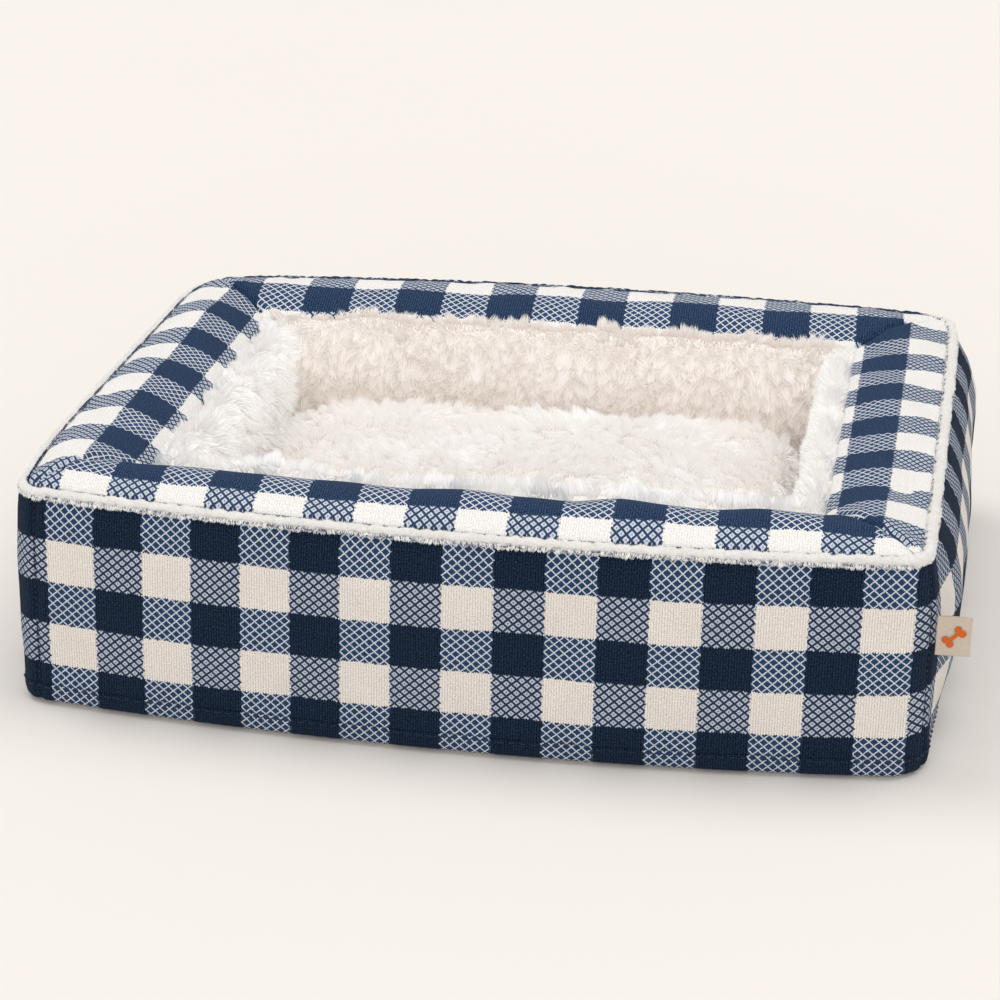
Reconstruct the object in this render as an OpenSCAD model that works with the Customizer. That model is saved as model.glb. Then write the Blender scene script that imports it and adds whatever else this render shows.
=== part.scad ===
// Rectangular bolster bed for a small pet, in millimetres.
// +Z is up, the long side runs along X and the entry (front) side faces -Y.
// The origin is the centre of the underside, on the plane the bed stands on.

/* [Overall] */
// Length of the cover along X, over the two end panels
bed_length = 600; // [580:2:680]
// Depth of the cover along Y, over the front and back panels
bed_depth = 474; // [440:2:540]
// Height of the centre of the piping above the ground
piping_height = 143; // [130:1:160]
// Radius of the cover's vertical corners, seen from above
corner_radius = 60; // [45:1:70]

/* [Walls] */
// Width of the padded top rim, from the cover's outer face inwards
rim_width = 76; // [66:1:90]
// Rise of the padded rim's crown above a straight line across it
rim_crown = 13; // [8:1:18]
// Thickness of the plush lining and its backing on the inner walls
plush_thickness = 13.7; // [10:0.1:18]
// Radius of the piping over its sleeve
piping_radius = 4.5; // [3.5:0.1:5]
// Thickness of the outer cover's cloth with its interlining
cloth = 2; // [1:0.1:2.5]

/* [Cushion] */
// Height of the cushion's side at its edge
cushion_edge = 30; // [20:1:40]
// Rise of the cushion's dome above its edge
cushion_dome = 34; // [20:1:40]
// Clearance round the cushion inside the plush walls
cushion_clearance = 4; // [3:0.5:8]

/* [Base] */
// Thickness of the base foam slab
base_foam_thickness = 35; // [25:1:45]
// Height of the hem band round the foot of the cover
hem_height = 14.4; // [12:0.1:18]
// Radius of the grip dots on the underside
dot_radius = 4; // [3:0.5:6]
// Spacing of the grip dots
dot_pitch = 52; // [40:1:60]

/* [Zip and label] */
// Length of the zip in the back panel
zip_length = 420; // [300:10:460]
// Pitch of the zip's teeth
tooth_pitch = 4; // [3:0.5:6]
// Length of the zip's pull tab
pull_length = 26; // [18:1:32]
// Height of the woven label tab
label_height = 26; // [18:1:32]
// Length of the label tab beyond its seam
label_length = 21; // [16:1:26]

/* [Hidden] */

HL = bed_length / 2;
HW = bed_depth / 2;
xs = HL - corner_radius;              // centre of the corner arcs
seam_x = HL - 24;                     // where the front and back panels meet the end panels
seam_y = HW - corner_radius + sqrt(pow(corner_radius - 0.8, 2) - pow(seam_x - xs, 2));
dot_h = 0.8;                          // grip dots stand this far below the cloth
under_z = 2.2;                        // top of the underside cloth
foam_z = under_z;                     // foam stands on the underside cloth
panel_lo = hem_height + 1.2;          // foot of the panels, above the hem's stitch groove
panel_hi = piping_height - piping_radius - 0.4;
foam_gap = 0.5;                       // between the cover's inner face and the foam
wall_hi = 126;                        // top of the foam walls
rim_d0 = 11.4;                        // rim's outer edge, in from the cover's face
rim_zo = piping_height + 1;           // rim's outer edge height
rim_zi = piping_height + 4;           // rim's inner edge height
rim_t = 1.8;                          // rim cloth thickness
wall_in_x = HL - rim_width;           // foam's inner face
wall_in_y = HW - rim_width;
plush_hi = piping_height + 6;
deck_lo = foam_z + base_foam_thickness;
deck_hi = deck_lo + 1.6;
well_x = wall_in_x - plush_thickness; // clear half size of the well
well_y = wall_in_y - plush_thickness;
cu_x = well_x - cushion_clearance;
cu_y = well_y - cushion_clearance;
cu_lo = deck_hi + 0.3;
cu_base = 1.2;
cu_edge_z = cu_lo + cu_base + cushion_edge;
cu_top_z = cu_edge_z + cushion_dome;
cu_skin = 9;                          // plush top with its pile
zip_z = 23;                           // height of the zip's centre line
tape_y = HW - 1.8;                    // inner face of the zip tapes
plate_y = HW + 0.2;                   // inner face of the slider's plate
pin_y = plate_y + 3.3;                // axis of the pull tab
slider_x = zip_length / 2 - 16;       // slider's centre when the zip is shut
label_x = xs + corner_radius * cos(45) + 0.95;
label_y = -(HW - corner_radius) - corner_radius * cos(45) - 0.95;
label_z = 82;
label_t = 0.8;                        // one ply of the folded tape

// Rounded rectangle with half sizes a and b and corner radius r.
module rrect(a, b, r, fn = 64) {
    union() {
        square([2 * a, 2 * (b - r)], center = true);
        square([2 * (a - r), 2 * b], center = true);
        for (sx = [-1, 1], sy = [-1, 1])
            translate([sx * (a - r), sy * (b - r)]) circle(r = r, $fn = fn);
    }
}

// The cover's outline, d in from its outer face.
module cover2d(d) {
    rrect(HL - d, HW - d, max(corner_radius - d, 2));
}

// A band of cloth following the cover's outline, between two depths.
module band2d(d0, d1) {
    difference() { cover2d(d0); cover2d(d1); }
}

// End panel in plan: wraps round both corners at one end. s is -1 (left) or 1 (right).
module end2d(s, d0, d1, gap) {
    intersection() {
        band2d(d0, d1);
        translate([s * (seam_x + gap + 50), 0]) square([100, 2 * HW + 4], center = true);
    }
}
// Front (s = -1) or back (s = 1) panel in plan, between the two corner seams.
module side2d(s, d0, d1) {
    intersection() {
        band2d(d0, d1);
        translate([0, s * HW]) square([2 * seam_x - 1.4, HW], center = true);
    }
}

// Trapezium between the outer edge and the inner edge of one side, with mitred ends.
module mitre_x(s) {
    polygon([[-HL, s * HW], [HL, s * HW],
        [HL - rim_width, s * (HW - rim_width)], [-(HL - rim_width), s * (HW - rim_width)]]);
}
module mitre_y(s, g) {
    polygon([[s * HL, -HW + g], [s * HL, HW - g],
        [s * (HL - rim_width), HW - rim_width - g], [s * (HL - rim_width), -(HW - rim_width) + g]]);
}

// Height of the crowned rim at depth d from the outer face.
function rim_u(d) = (d - rim_d0) / (rim_width - rim_d0);
function rim_z(d) = rim_zo + (rim_zi - rim_zo) * rim_u(d) + rim_crown * sin(180 * rim_u(d));
function rim_pts(lo) = concat(
    [for (i = [0:18]) let (d = rim_d0 + (rim_width - rim_d0) * i / 18) [d, rim_z(d)]],
    [for (i = [18:-1:0]) let (d = rim_d0 + (rim_width - rim_d0) * i / 18) [d, rim_z(d) - lo]]);
function wad_pts() = concat(
    [for (i = [0:18]) let (d = rim_d0 + 1 + (rim_width - rim_d0 - 2) * i / 18) [d, rim_z(d) - rim_t - 0.2]],
    [[rim_width - 1, wall_hi], [rim_d0 + 1, wall_hi]]);

// Sweep of a rim section along X on one side; s is -1 (front) or 1 (back).
module run_x(s, len) {
    // local x of the section is the depth from the outer face, local y is height
    multmatrix([[0, 0, 1, -len / 2], [-s, 0, 0, s * HW], [0, 1, 0, 0], [0, 0, 0, 1]])
        linear_extrude(height = len) children();
}
module run_y(s, len) {
    multmatrix([[-s, 0, 0, s * HL], [0, 0, 1, -len / 2], [0, 1, 0, 0], [0, 0, 0, 1]])
        linear_extrude(height = len) children();
}

module rim_strip(ax, s) {
    intersection() {
        if (ax == 0) run_x(s, 2 * HL) polygon(rim_pts(rim_t));
        else run_y(s, 2 * HW) polygon(rim_pts(rim_t));
        translate([0, 0, 120]) linear_extrude(height = 60) intersection() {
            if (ax == 0) mitre_x(s); else mitre_y(s, 0.3);
            cover2d(rim_d0);
        }
    }
}
module rim_wad(ax, s) {
    intersection() {
        if (ax == 0) run_x(s, 2 * HL) polygon(wad_pts());
        else run_y(s, 2 * HW) polygon(wad_pts());
        translate([0, 0, 120]) linear_extrude(height = 60) intersection() {
            if (ax == 0) mitre_x(s); else mitre_y(s, 0.3);
            cover2d(rim_d0 + 1);
        }
    }
}

// Closed loop of round cord that follows the cover's outline, d in from its face.
module loop(d, z, r) {
    rc = corner_radius - d;
    translate([0, 0, z]) {
        for (s = [-1, 1]) {
            translate([-xs, s * (HW - d), 0]) rotate([0, 90, 0]) cylinder(h = 2 * xs, r = r, $fn = 32);
            translate([s * (HL - d), -(HW - corner_radius), 0]) rotate([-90, 0, 0])
                cylinder(h = 2 * (HW - corner_radius), r = r, $fn = 32);
        }
        for (q = [0:3])
            translate([(q == 0 || q == 3 ? 1 : -1) * xs, (q < 2 ? 1 : -1) * (HW - corner_radius), 0])
                rotate([0, 0, q * 90]) rotate_extrude(angle = 90, $fn = 64)
                    translate([rc, 0]) circle(r = r, $fn = 32);
    }
}

// Foam block in plan, kept inside the cover's rounded corners.
module foam2d(x0, y0, x1, y1) {
    intersection() {
        cover2d(cloth + foam_gap);
        translate([x0, y0]) square([x1 - x0, y1 - y0]);
    }
}

// ---- outer cover ----
module front_panel() {
    color([0.30, 0.40, 0.55]) translate([0, 0, panel_lo]) linear_extrude(height = panel_hi - panel_lo) side2d(-1, 0, cloth);
}
module back_panel() {
    color([0.30, 0.40, 0.55]) difference() {
        translate([0, 0, panel_lo]) linear_extrude(height = panel_hi - panel_lo) side2d(1, 0, cloth);
        translate([-zip_length / 2 - 2, HW - cloth - 1, panel_lo - 1]) cube([zip_length + 4, cloth + 2, zip_z + 13 - panel_lo + 1]);
    }
}
module left_panel() {
    color([0.30, 0.40, 0.55]) translate([0, 0, panel_lo]) linear_extrude(height = panel_hi - panel_lo) end2d(-1, 0, cloth, 0.7);
}
module right_panel() {
    color([0.30, 0.40, 0.55]) translate([0, 0, panel_lo]) linear_extrude(height = panel_hi - panel_lo) end2d(1, 0, cloth, 0.7);
}
module rim_front() { color([0.72, 0.76, 0.82]) rim_strip(0, -1); }
module rim_back() { color([0.72, 0.76, 0.82]) rim_strip(0, 1); }
module rim_left() { color([0.72, 0.76, 0.82]) rim_strip(1, -1); }
module rim_right() { color([0.72, 0.76, 0.82]) rim_strip(1, 1); }
module rim_wadding_front() { color("white") rim_wad(0, -1); }
module rim_wadding_back() { color("white") rim_wad(0, 1); }
module rim_wadding_left() { color("white") rim_wad(1, -1); }
module rim_wadding_right() { color("white") rim_wad(1, 1); }

// ---- piping round the top edge ----
module piping_sleeve() {
    color([0.97, 0.96, 0.94]) difference() {
        loop(6.5, piping_height, piping_radius);
        loop(6.5, piping_height, piping_radius - 1.6);
    }
}
module piping_cord() { color("ivory") loop(6.5, piping_height, piping_radius - 1.9); }

// ---- plush lining of the inner walls ----
module wall_lining(x0, y0, x1, y1) {
    translate([x0, y0, deck_hi]) cube([x1 - x0, y1 - y0, plush_hi - deck_hi]);
}
module plush_wall_front() { color([0.96, 0.94, 0.91]) wall_lining(-wall_in_x, -wall_in_y, wall_in_x, -well_y); }
module plush_wall_back() { color([0.96, 0.94, 0.91]) wall_lining(-wall_in_x, well_y, wall_in_x, wall_in_y); }
module plush_wall_left() { color([0.96, 0.94, 0.91]) wall_lining(-wall_in_x, -well_y + 0.3, -well_x, well_y - 0.3); }
module plush_wall_right() { color([0.96, 0.94, 0.91]) wall_lining(well_x, -well_y + 0.3, wall_in_x, well_y - 0.3); }

// ---- foam inside ----
module foam_wall(x0, y0, x1, y1) {
    translate([0, 0, foam_z]) linear_extrude(height = wall_hi - foam_z) foam2d(x0, y0, x1, y1);
}
module wall_foam_front() { color([0.95, 0.92, 0.80]) foam_wall(-HL, -HW, HL, -wall_in_y - 0.3); }
module wall_foam_back() { color([0.95, 0.92, 0.80]) foam_wall(-HL, wall_in_y + 0.3, HL, HW - 3.2); }
module wall_foam_left() { color([0.95, 0.92, 0.80]) foam_wall(-HL, -wall_in_y, -wall_in_x - 0.3, wall_in_y); }
module wall_foam_right() { color([0.95, 0.92, 0.80]) foam_wall(wall_in_x + 0.3, -wall_in_y, HL, wall_in_y); }
module base_foam() {
    color([0.95, 0.92, 0.80]) translate([-wall_in_x, -wall_in_y, foam_z]) cube([2 * wall_in_x, 2 * wall_in_y, base_foam_thickness]);
}
module deck_fabric() {
    color([0.90, 0.89, 0.86]) translate([-wall_in_x, -wall_in_y, deck_lo]) cube([2 * wall_in_x, 2 * wall_in_y, deck_hi - deck_lo]);
}
module underside_fabric() {
    color([0.32, 0.33, 0.36]) translate([0, 0, dot_h]) linear_extrude(height = under_z - dot_h) cover2d(cloth + 1.2);
}
module grip_dots() {
    nx = floor((HL - 30) / dot_pitch);
    ny = floor((HW - 30) / dot_pitch);
    color([0.15, 0.15, 0.16]) for (i = [-nx:nx], j = [-ny:ny])
        translate([i * dot_pitch, j * dot_pitch, 0]) cylinder(h = dot_h, r = dot_radius, $fn = 24);
}

// ---- hem and threads ----
module hem(s) {
    translate([0, 0, dot_h]) linear_extrude(height = hem_height - dot_h) side2d(s, 0, cloth + 0.3);
}
module hem_front() { color([0.36, 0.45, 0.60]) hem(-1); }
module hem_back() {
    color([0.36, 0.45, 0.60]) difference() {
        hem(1);
        translate([-zip_length / 2 - 2, HW - 5, zip_z - 13]) cube([zip_length + 4, 10, 20]);
    }
}
module hem_left() {
    color([0.36, 0.45, 0.60]) translate([0, 0, dot_h]) linear_extrude(height = hem_height - dot_h) end2d(-1, 0, cloth + 0.3, 0.7);
}
module hem_right() {
    color([0.36, 0.45, 0.60]) translate([0, 0, dot_h]) linear_extrude(height = hem_height - dot_h) end2d(1, 0, cloth + 0.3, 0.7);
}
module hem_thread() { color([0.80, 0.82, 0.86]) loop(0.4, hem_height + 0.6, 0.5); }
module corner_threads() {
    color([0.10, 0.15, 0.26]) for (sx = [-1, 1], sy = [-1, 1])
        translate([sx * seam_x, sy * seam_y, panel_lo + 0.5]) cylinder(h = panel_hi - panel_lo - 1, r = 0.45, $fn = 24);
}

// ---- zip in the back panel ----
module tape(z0, z1) {
    translate([-zip_length / 2, tape_y, z0]) cube([zip_length, 0.8, z1 - z0]);
}
module zip_tape_upper() { color([0.10, 0.15, 0.26]) tape(zip_z + 3, zip_z + 13); }
module zip_tape_lower() { color([0.10, 0.15, 0.26]) tape(zip_z - 13, zip_z - 3); }
// Coil of one side: a backbone with a row of teeth, cut to one outline.
function comb(n, p, w, h, back) = concat(
    [[0, 0], [0, -back]], [[n * p, -back], [n * p, 0]],
    [for (i = [n - 1:-1:0]) each [[i * p + p / 2 + w / 2, 0], [i * p + p / 2 + w / 2, h],
        [i * p + p / 2 - w / 2, h], [i * p + p / 2 - w / 2, 0]]]);
n_teeth = floor((zip_length - 40) / tooth_pitch);
module coil(up) {
    shift = up ? tooth_pitch / 2 : 0;
    translate([-n_teeth * tooth_pitch / 2 + shift, HW + 0.0, zip_z]) rotate([90, 0, 0])
        translate([0, up ? 1.9 : -1.9, 0]) scale([1, 1, 1])
            linear_extrude(height = 2.4)
                if (up) mirror([0, 1]) polygon(comb(n_teeth, tooth_pitch, tooth_pitch * 0.42, 3.2, 1.1));
                else polygon(comb(n_teeth, tooth_pitch, tooth_pitch * 0.42, 3.2, 1.1));
}
module zip_teeth_upper() { color([0.85, 0.86, 0.88]) coil(true); }
module zip_teeth_lower() { color([0.85, 0.86, 0.88]) coil(false); }
module zip_stops() {
    color([0.75, 0.75, 0.78]) for (s = [-1, 1])
        translate([s * (zip_length / 2 - 5) - 1.5, HW - 2.4, zip_z - 3]) cube([3, 2.3, 6]);
}
// Slider: a plate over the teeth with a flange beside each coil and two lugs for the pull.
module zip_slider() {
    color([0.72, 0.73, 0.76]) difference() {
        union() {
            translate([slider_x - 7, plate_y, zip_z - 5.6]) cube([14, 1.2, 11.2]);
            for (s = [-1, 1]) translate([slider_x - 7, HW - 0.6, zip_z + s * 4.9 - 0.7]) cube([14, 1.2, 1.4]);
            for (s = [-1, 1]) translate([slider_x, pin_y, zip_z + s * 2.9 - 0.6]) cylinder(h = 1.2, r = 1.9, $fn = 32);
            for (s = [-1, 1]) translate([slider_x - 1.9, plate_y, zip_z + s * 2.9 - 0.6]) cube([3.8, pin_y - plate_y, 1.2]);
            translate([slider_x, pin_y, zip_z - 3.4]) cylinder(h = 6.8, r = 0.7, $fn = 32);
        }
    }
}
// Pull tab: turns on the slider's pin and lies along the zip.
module zip_pull() {
    color([0.72, 0.73, 0.76]) difference() {
        union() {
            translate([slider_x, pin_y, zip_z - 1.9]) cylinder(h = 3.8, r = 1.7, $fn = 32);
            translate([slider_x - pull_length + 4, pin_y - 0.6, zip_z - 1.9]) cube([pull_length - 4, 1.2, 3.8]);
            translate([slider_x - pull_length + 4, pin_y + 0.6, zip_z]) rotate([90, 0, 0]) cylinder(h = 1.2, r = 4, $fn = 48);
        }
        translate([slider_x, pin_y, zip_z - 3]) cylinder(h = 6, r = 0.95, $fn = 32);
        translate([slider_x - pull_length + 4, pin_y + 1.6, zip_z]) rotate([90, 0, 0]) cylinder(h = 4, r = 1.8, $fn = 32);
    }
}

// ---- loose cushion ----
module slab(a, b, r, z, h, fn = 64) {
    translate([0, 0, z]) linear_extrude(height = h) rrect(a, b, r, fn);
}
module dome() {
    hull() {
        slab(cu_x, cu_y, 28, cu_lo + cu_base, 1, 24);
        slab(cu_x, cu_y, 28, cu_edge_z, 1, 24);
        slab(cu_x * 0.86, cu_y * 0.82, 34, cu_edge_z + cushion_dome * 0.62, 1, 24);
        slab(cu_x * 0.5, cu_y * 0.44, 34, cu_top_z - 1, 1, 24);
    }
}
// The filling's room inside the cushion: a low slab with a smaller one on top.
module room(g) {
    slab(cu_x - cu_skin - g, cu_y - cu_skin - g, 22, cu_lo + cu_base + (g > 0 ? 0.2 : -1), cushion_edge - 2 - g + (g > 0 ? 0 : 1));
    slab(cu_x * 0.72 - g, cu_y * 0.66 - g, 22, cu_edge_z - 8, cushion_dome * 0.6 - g);
}
module cushion_plush() {
    color([0.97, 0.95, 0.92]) difference() { dome(); room(0); }
}
module cushion_filling() { color("white") union() { room(0.3); } }
module cushion_base() { color([0.90, 0.88, 0.84]) slab(cu_x - 0.5, cu_y - 0.5, 28, cu_lo, cu_base); }

// ---- label in the front right corner seam ----
module label_tab() {
    w = label_t * 2 + 0.5;
    color([0.80, 0.74, 0.67]) translate([label_x, label_y, label_z]) linear_extrude(height = label_height)
        union() {
            circle(r = 0.9, $fn = 32);
            translate([0, -w / 2]) square([label_length - w / 2, label_t]);
            translate([0, w / 2 - label_t]) square([label_length - w / 2, label_t]);
            translate([label_length - w / 2, 0]) difference() {
                circle(r = w / 2, $fn = 32);
                circle(r = w / 2 - label_t, $fn = 32);
                translate([-w, -w]) square([w, 2 * w]);
            }
            translate([0, -w / 2]) square([2.5, w]);
        }
}
// A plain bone shape, raised on the front ply.
module label_symbol() {
    w = label_t * 2 + 0.5;
    color([0.78, 0.34, 0.13]) translate([label_x + label_length / 2 + 0.6, label_y - w / 2, label_z + label_height / 2])
        rotate([90, 0, 0]) rotate([0, 0, 45]) linear_extrude(height = 0.3) union() {
            square([8, 3], center = true);
            for (sx = [-1, 1], sy = [-1, 1]) translate([sx * 4.4, sy * 1.5]) circle(r = 1.9, $fn = 32);
        }
}

front_panel();
back_panel();
left_panel();
right_panel();
rim_front();
rim_back();
rim_left();
rim_right();
rim_wadding_front();
rim_wadding_back();
rim_wadding_left();
rim_wadding_right();
piping_sleeve();
piping_cord();
plush_wall_front();
plush_wall_back();
plush_wall_left();
plush_wall_right();
wall_foam_front();
wall_foam_back();
wall_foam_left();
wall_foam_right();
base_foam();
deck_fabric();
underside_fabric();
grip_dots();
hem_front();
hem_back();
hem_left();
hem_right();
hem_thread();
corner_threads();
zip_tape_upper();
zip_tape_lower();
zip_teeth_upper();
zip_teeth_lower();
zip_stops();
zip_slider();
zip_pull();
cushion_plush();
cushion_filling();
cushion_base();
label_tab();
label_symbol();
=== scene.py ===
import math
import bpy
import numpy as np
from mathutils import Matrix, Vector, kdtree


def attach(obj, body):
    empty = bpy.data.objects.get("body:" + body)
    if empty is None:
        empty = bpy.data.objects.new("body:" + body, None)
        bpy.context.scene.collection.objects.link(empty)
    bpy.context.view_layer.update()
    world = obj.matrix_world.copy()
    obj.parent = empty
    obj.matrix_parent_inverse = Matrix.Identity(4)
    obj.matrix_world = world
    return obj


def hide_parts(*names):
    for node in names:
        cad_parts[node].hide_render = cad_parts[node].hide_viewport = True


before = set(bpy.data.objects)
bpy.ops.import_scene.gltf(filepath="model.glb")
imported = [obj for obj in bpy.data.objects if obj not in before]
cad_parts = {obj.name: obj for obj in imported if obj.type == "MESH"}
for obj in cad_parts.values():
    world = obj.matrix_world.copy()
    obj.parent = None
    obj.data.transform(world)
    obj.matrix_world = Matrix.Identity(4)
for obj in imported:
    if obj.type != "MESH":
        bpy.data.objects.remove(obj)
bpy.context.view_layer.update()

scene = bpy.context.scene

# ---------------------------------------------------------------- helpers
# Everything is laid out in millimetres and scaled when a mesh is made.
A0, B0, R0, H = 283.7, 215.8, 15.5, 143.6      # line of the piping: half sizes, corner radius, height


def lin(r, g, b):
    """sRGB 0 to 255 as linear colour."""
    def one(c):
        c /= 255
        return c / 12.92 if c <= 0.04045 else ((c + 0.055) / 1.055) ** 2.4
    return (one(r), one(g), one(b), 1.0)


def smooth(x):
    x = np.clip(x, 0, 1)
    return x * x * (3 - 2 * x)


def wob(p, scale, seed, n=8):
    """Smooth noise of about -1 to 1, with features of about that scale."""
    r = np.random.default_rng(seed)
    out = 0
    for _ in range(n):
        k = r.normal(size=p.shape[-1])
        k /= np.linalg.norm(k)
        out = out + np.sin(p @ k * (2 * np.pi / scale * r.uniform(0.55, 1.6)) + r.uniform(0, 6.28))
    return out / math.sqrt(n)


def warp(P):
    """The soft cover's slack shape: the long sides bow out and the corners are a little out of square."""
    P = np.array(P, float)
    x, y = P[..., 0], P[..., 1]
    qx, qy = np.clip(1 - (x / A0) ** 2, 0, 1), np.clip(1 - (y / B0) ** 2, 0, 1)
    X = x + x / A0 * 0.84 * qy
    Y = y + y / B0 * np.where(y < 0, 19.3, 20.7) * qx
    X2 = X + np.sign(X) * np.minimum(abs(X) / A0, 1) * (Y / B0) * np.where(X < 0, -12.29, 9.10)
    Y2 = Y + np.sign(Y) * np.minimum(abs(Y) / B0, 1) * (X / A0) * np.where(Y < 0, 7.18, 5.41)
    X2 = X2 + 6.0 * np.exp(-((x + A0) ** 2 + (y + B0) ** 2) / 55.0 ** 2)          # the front left corner is pushed in
    k = 4.2 * np.exp(-((x - A0) ** 2 + (y - B0) ** 2) / 24.0 ** 2)                   # and the back right one rounder
    X2, Y2 = X2 - k, Y2 - k
    k = 6.5 * np.exp(-((x + A0) ** 2 + (y - B0) ** 2) / 28.0 ** 2)
    X2, Y2 = X2 + k, Y2 - k
    P[..., 0], P[..., 1] = X2, Y2
    return P


Q = math.pi * R0 / 2
S_FR = A0 - R0                                  # where each corner arc starts, from the middle of the front
S_RB = S_FR + Q + 2 * (B0 - R0)
S_BL = S_RB + Q + 2 * (A0 - R0)
S_LF = S_BL + Q + 2 * (B0 - R0)
LEN = S_LF + Q + (A0 - R0)


def base(s):
    """Point and outward normal on the piping's line at arc length s, counter-clockwise from the front's middle."""
    s = np.mod(s, LEN)
    x, y, nx, ny = (np.zeros_like(s) for _ in range(4))
    a, b = A0 - R0, B0 - R0
    legs = [(0, S_FR, 0, -B0, 1, 0), (S_FR + Q, S_RB, A0, -b, 0, 1), (S_RB + Q, S_BL, a, B0, -1, 0),
            (S_BL + Q, S_LF, -A0, b, 0, -1), (S_LF + Q, LEN, -a, -B0, 1, 0)]
    for s0, s1, px, py, dx, dy in legs:
        m = (s >= s0) & (s <= s1)
        x[m], y[m] = px + dx * (s[m] - s0), py + dy * (s[m] - s0)
        nx[m], ny[m] = dy, -dx
    for s0, cx, cy, ang in [(S_FR, a, -b, -90), (S_RB, a, b, 0), (S_BL, -a, b, 90), (S_LF, -a, -b, 180)]:
        m = (s > s0) & (s < s0 + Q)
        t = math.radians(ang) + (s[m] - s0) / R0
        nx[m], ny[m] = np.cos(t), np.sin(t)
        x[m], y[m] = cx + R0 * nx[m], cy + R0 * ny[m]
    return x, y, nx, ny


E_FRONT = ([0.8, 2, 4, 13, 60, 110, 128, 136, 140], [4.2, 7.2, 8.8, 9.4, 9.2, 7.8, 5.8, 3.6, 1.8])
E_LEFT = ([0.8, 2, 4, 13, 28, 40, 67, 85, 100, 120, 136, 140], [-3.5, -1.6, 0.2, 1.6, 3.2, 4.2, 6.6, 5.6, 5.2, 4.0, 3, 1.8])
E_RIGHT = ([0.8, 2, 4, 13, 40, 62, 85, 100, 124, 134, 140], [1.5, 5.0, 8.5, 12, 19, 22.0, 21.5, 20, 13, 7, 1.8])


def prof(tab, z):
    """A profile smoothed a little, read at z."""
    zz = np.linspace(-10, 150, 641)
    e = np.interp(zz, *tab)
    k = np.hanning(33); k /= k.sum()
    e2 = np.convolve(np.pad(e, 16, mode="edge"), k, mode="valid")
    w = smooth((zz - 6) / 10) * smooth((139 - zz) / 6)
    return np.interp(z, zz, e * (1 - w) + e2 * w)


SEAMS = {"FL": -(A0 - R0) - 2.7, "FR": A0 - R0 + 18.0, "BR": S_RB + 12.0, "BL": S_BL + 12.0}


def face(s, z, inset=0.0):
    """A point of the cover's outer face, unwarped."""
    s = np.asarray(s, float)
    x, y, nx, ny = base(s)
    sm = np.mod(s, LEN)
    wr = smooth((sm - (S_FR + 17)) / 70) * smooth((S_RB + 16 - sm) / 30)
    wl = smooth((sm - (S_BL + 8)) / 30) * smooth((S_LF + 20 - sm) / 26)
    ef, el, er = prof(E_FRONT, z), prof(E_LEFT, z), prof(E_RIGHT, z)
    e = ef + (er - ef) * wr + (el - ef) * wl
    p3 = np.stack([x, y, z + 0 * x], -1)
    mid = smooth((z - 5) / 25) * smooth((140 - z) / 18)
    e = e + 0.9 * wob(p3, 150, 11) * mid + 0.35 * wob(p3, 38, 12) * mid
    edge = np.exp(-(140 - z) / 7.0) + 0.7 * np.exp(-abs(z - 16) / 6.0)
    e = e + 0.45 * wob(p3 * [1, 1, 0.25], 15, 13) * edge                      # puckers along the seams
    for k, c in SEAMS.items():
        d = np.mod(sm - c + LEN / 2, LEN) - LEN / 2
        d = d * (R0 + e) / R0 if k != "FL" else d * 1.3
        e = e - 1.7 * np.exp(-(d / 1.7) ** 2) + 0.35 * np.exp(-((abs(d) - 5) / 3) ** 2)
    e = e - inset
    P = np.stack([x + nx * e, y + ny * e, z + 0 * x], -1)
    return P


def shape_back(P, inset=0.0):
    """Warped face point, held flat behind the zip on the back."""
    W = warp(P)
    zz, X = W[..., 2], W[..., 0]
    back = (P[..., 1] > B0 - 4)
    f = smooth((62 - zz) / 20) * smooth((262 - abs(X)) / 36) * back
    tgt = 234.1 - inset
    W[..., 1] = W[..., 1] * (1 - f) + tgt * f
    return W


def mesh_of(name, V, faces_flat, sizes, uvs=None, mat=None, smoothed=True):
    """A mesh from vertices in millimetres, loop vertex indices and face sizes."""
    me = bpy.data.meshes.new(name)
    V = np.ascontiguousarray(np.asarray(V, np.float32) * 0.001)
    faces_flat = np.asarray(faces_flat, np.int32)
    sizes = np.asarray(sizes, np.int32)
    me.vertices.add(len(V))
    me.vertices.foreach_set("co", V.ravel())
    me.loops.add(len(faces_flat))
    me.loops.foreach_set("vertex_index", faces_flat)
    me.polygons.add(len(sizes))
    start = np.concatenate([[0], np.cumsum(sizes)[:-1]]).astype(np.int32)
    me.polygons.foreach_set("loop_start", start)
    me.update(calc_edges=True)
    for n, uv in (uvs or {}).items():
        lay = me.uv_layers.new(name=n)
        lay.data.foreach_set("uv", np.asarray(uv, np.float32)[faces_flat].ravel())
    me.polygons.foreach_set("use_smooth", np.full(len(sizes), smoothed))
    if "OFBake" in me.uv_layers:
        me.uv_layers.active = me.uv_layers["OFBake"]
    me.validate(clean_customdata=False)
    me.update()
    ob = bpy.data.objects.new(name, me)
    scene.collection.objects.link(ob)
    if mat is not None:
        me.materials.append(mat)
    return ob


def grid_faces(nu, nv, wrap_u=False, wrap_v=False, flip=False, off=0):
    i, j = np.meshgrid(np.arange(nu if wrap_u else nu - 1), np.arange(nv if wrap_v else nv - 1), indexing="ij")
    i2, j2 = (i + 1) % nu, (j + 1) % nv
    q = np.stack([i * nv + j, i2 * nv + j, i2 * nv + j2, i * nv + j2], -1).reshape(-1, 4)
    if flip:
        q = q[:, ::-1]
    return q + off


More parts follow.
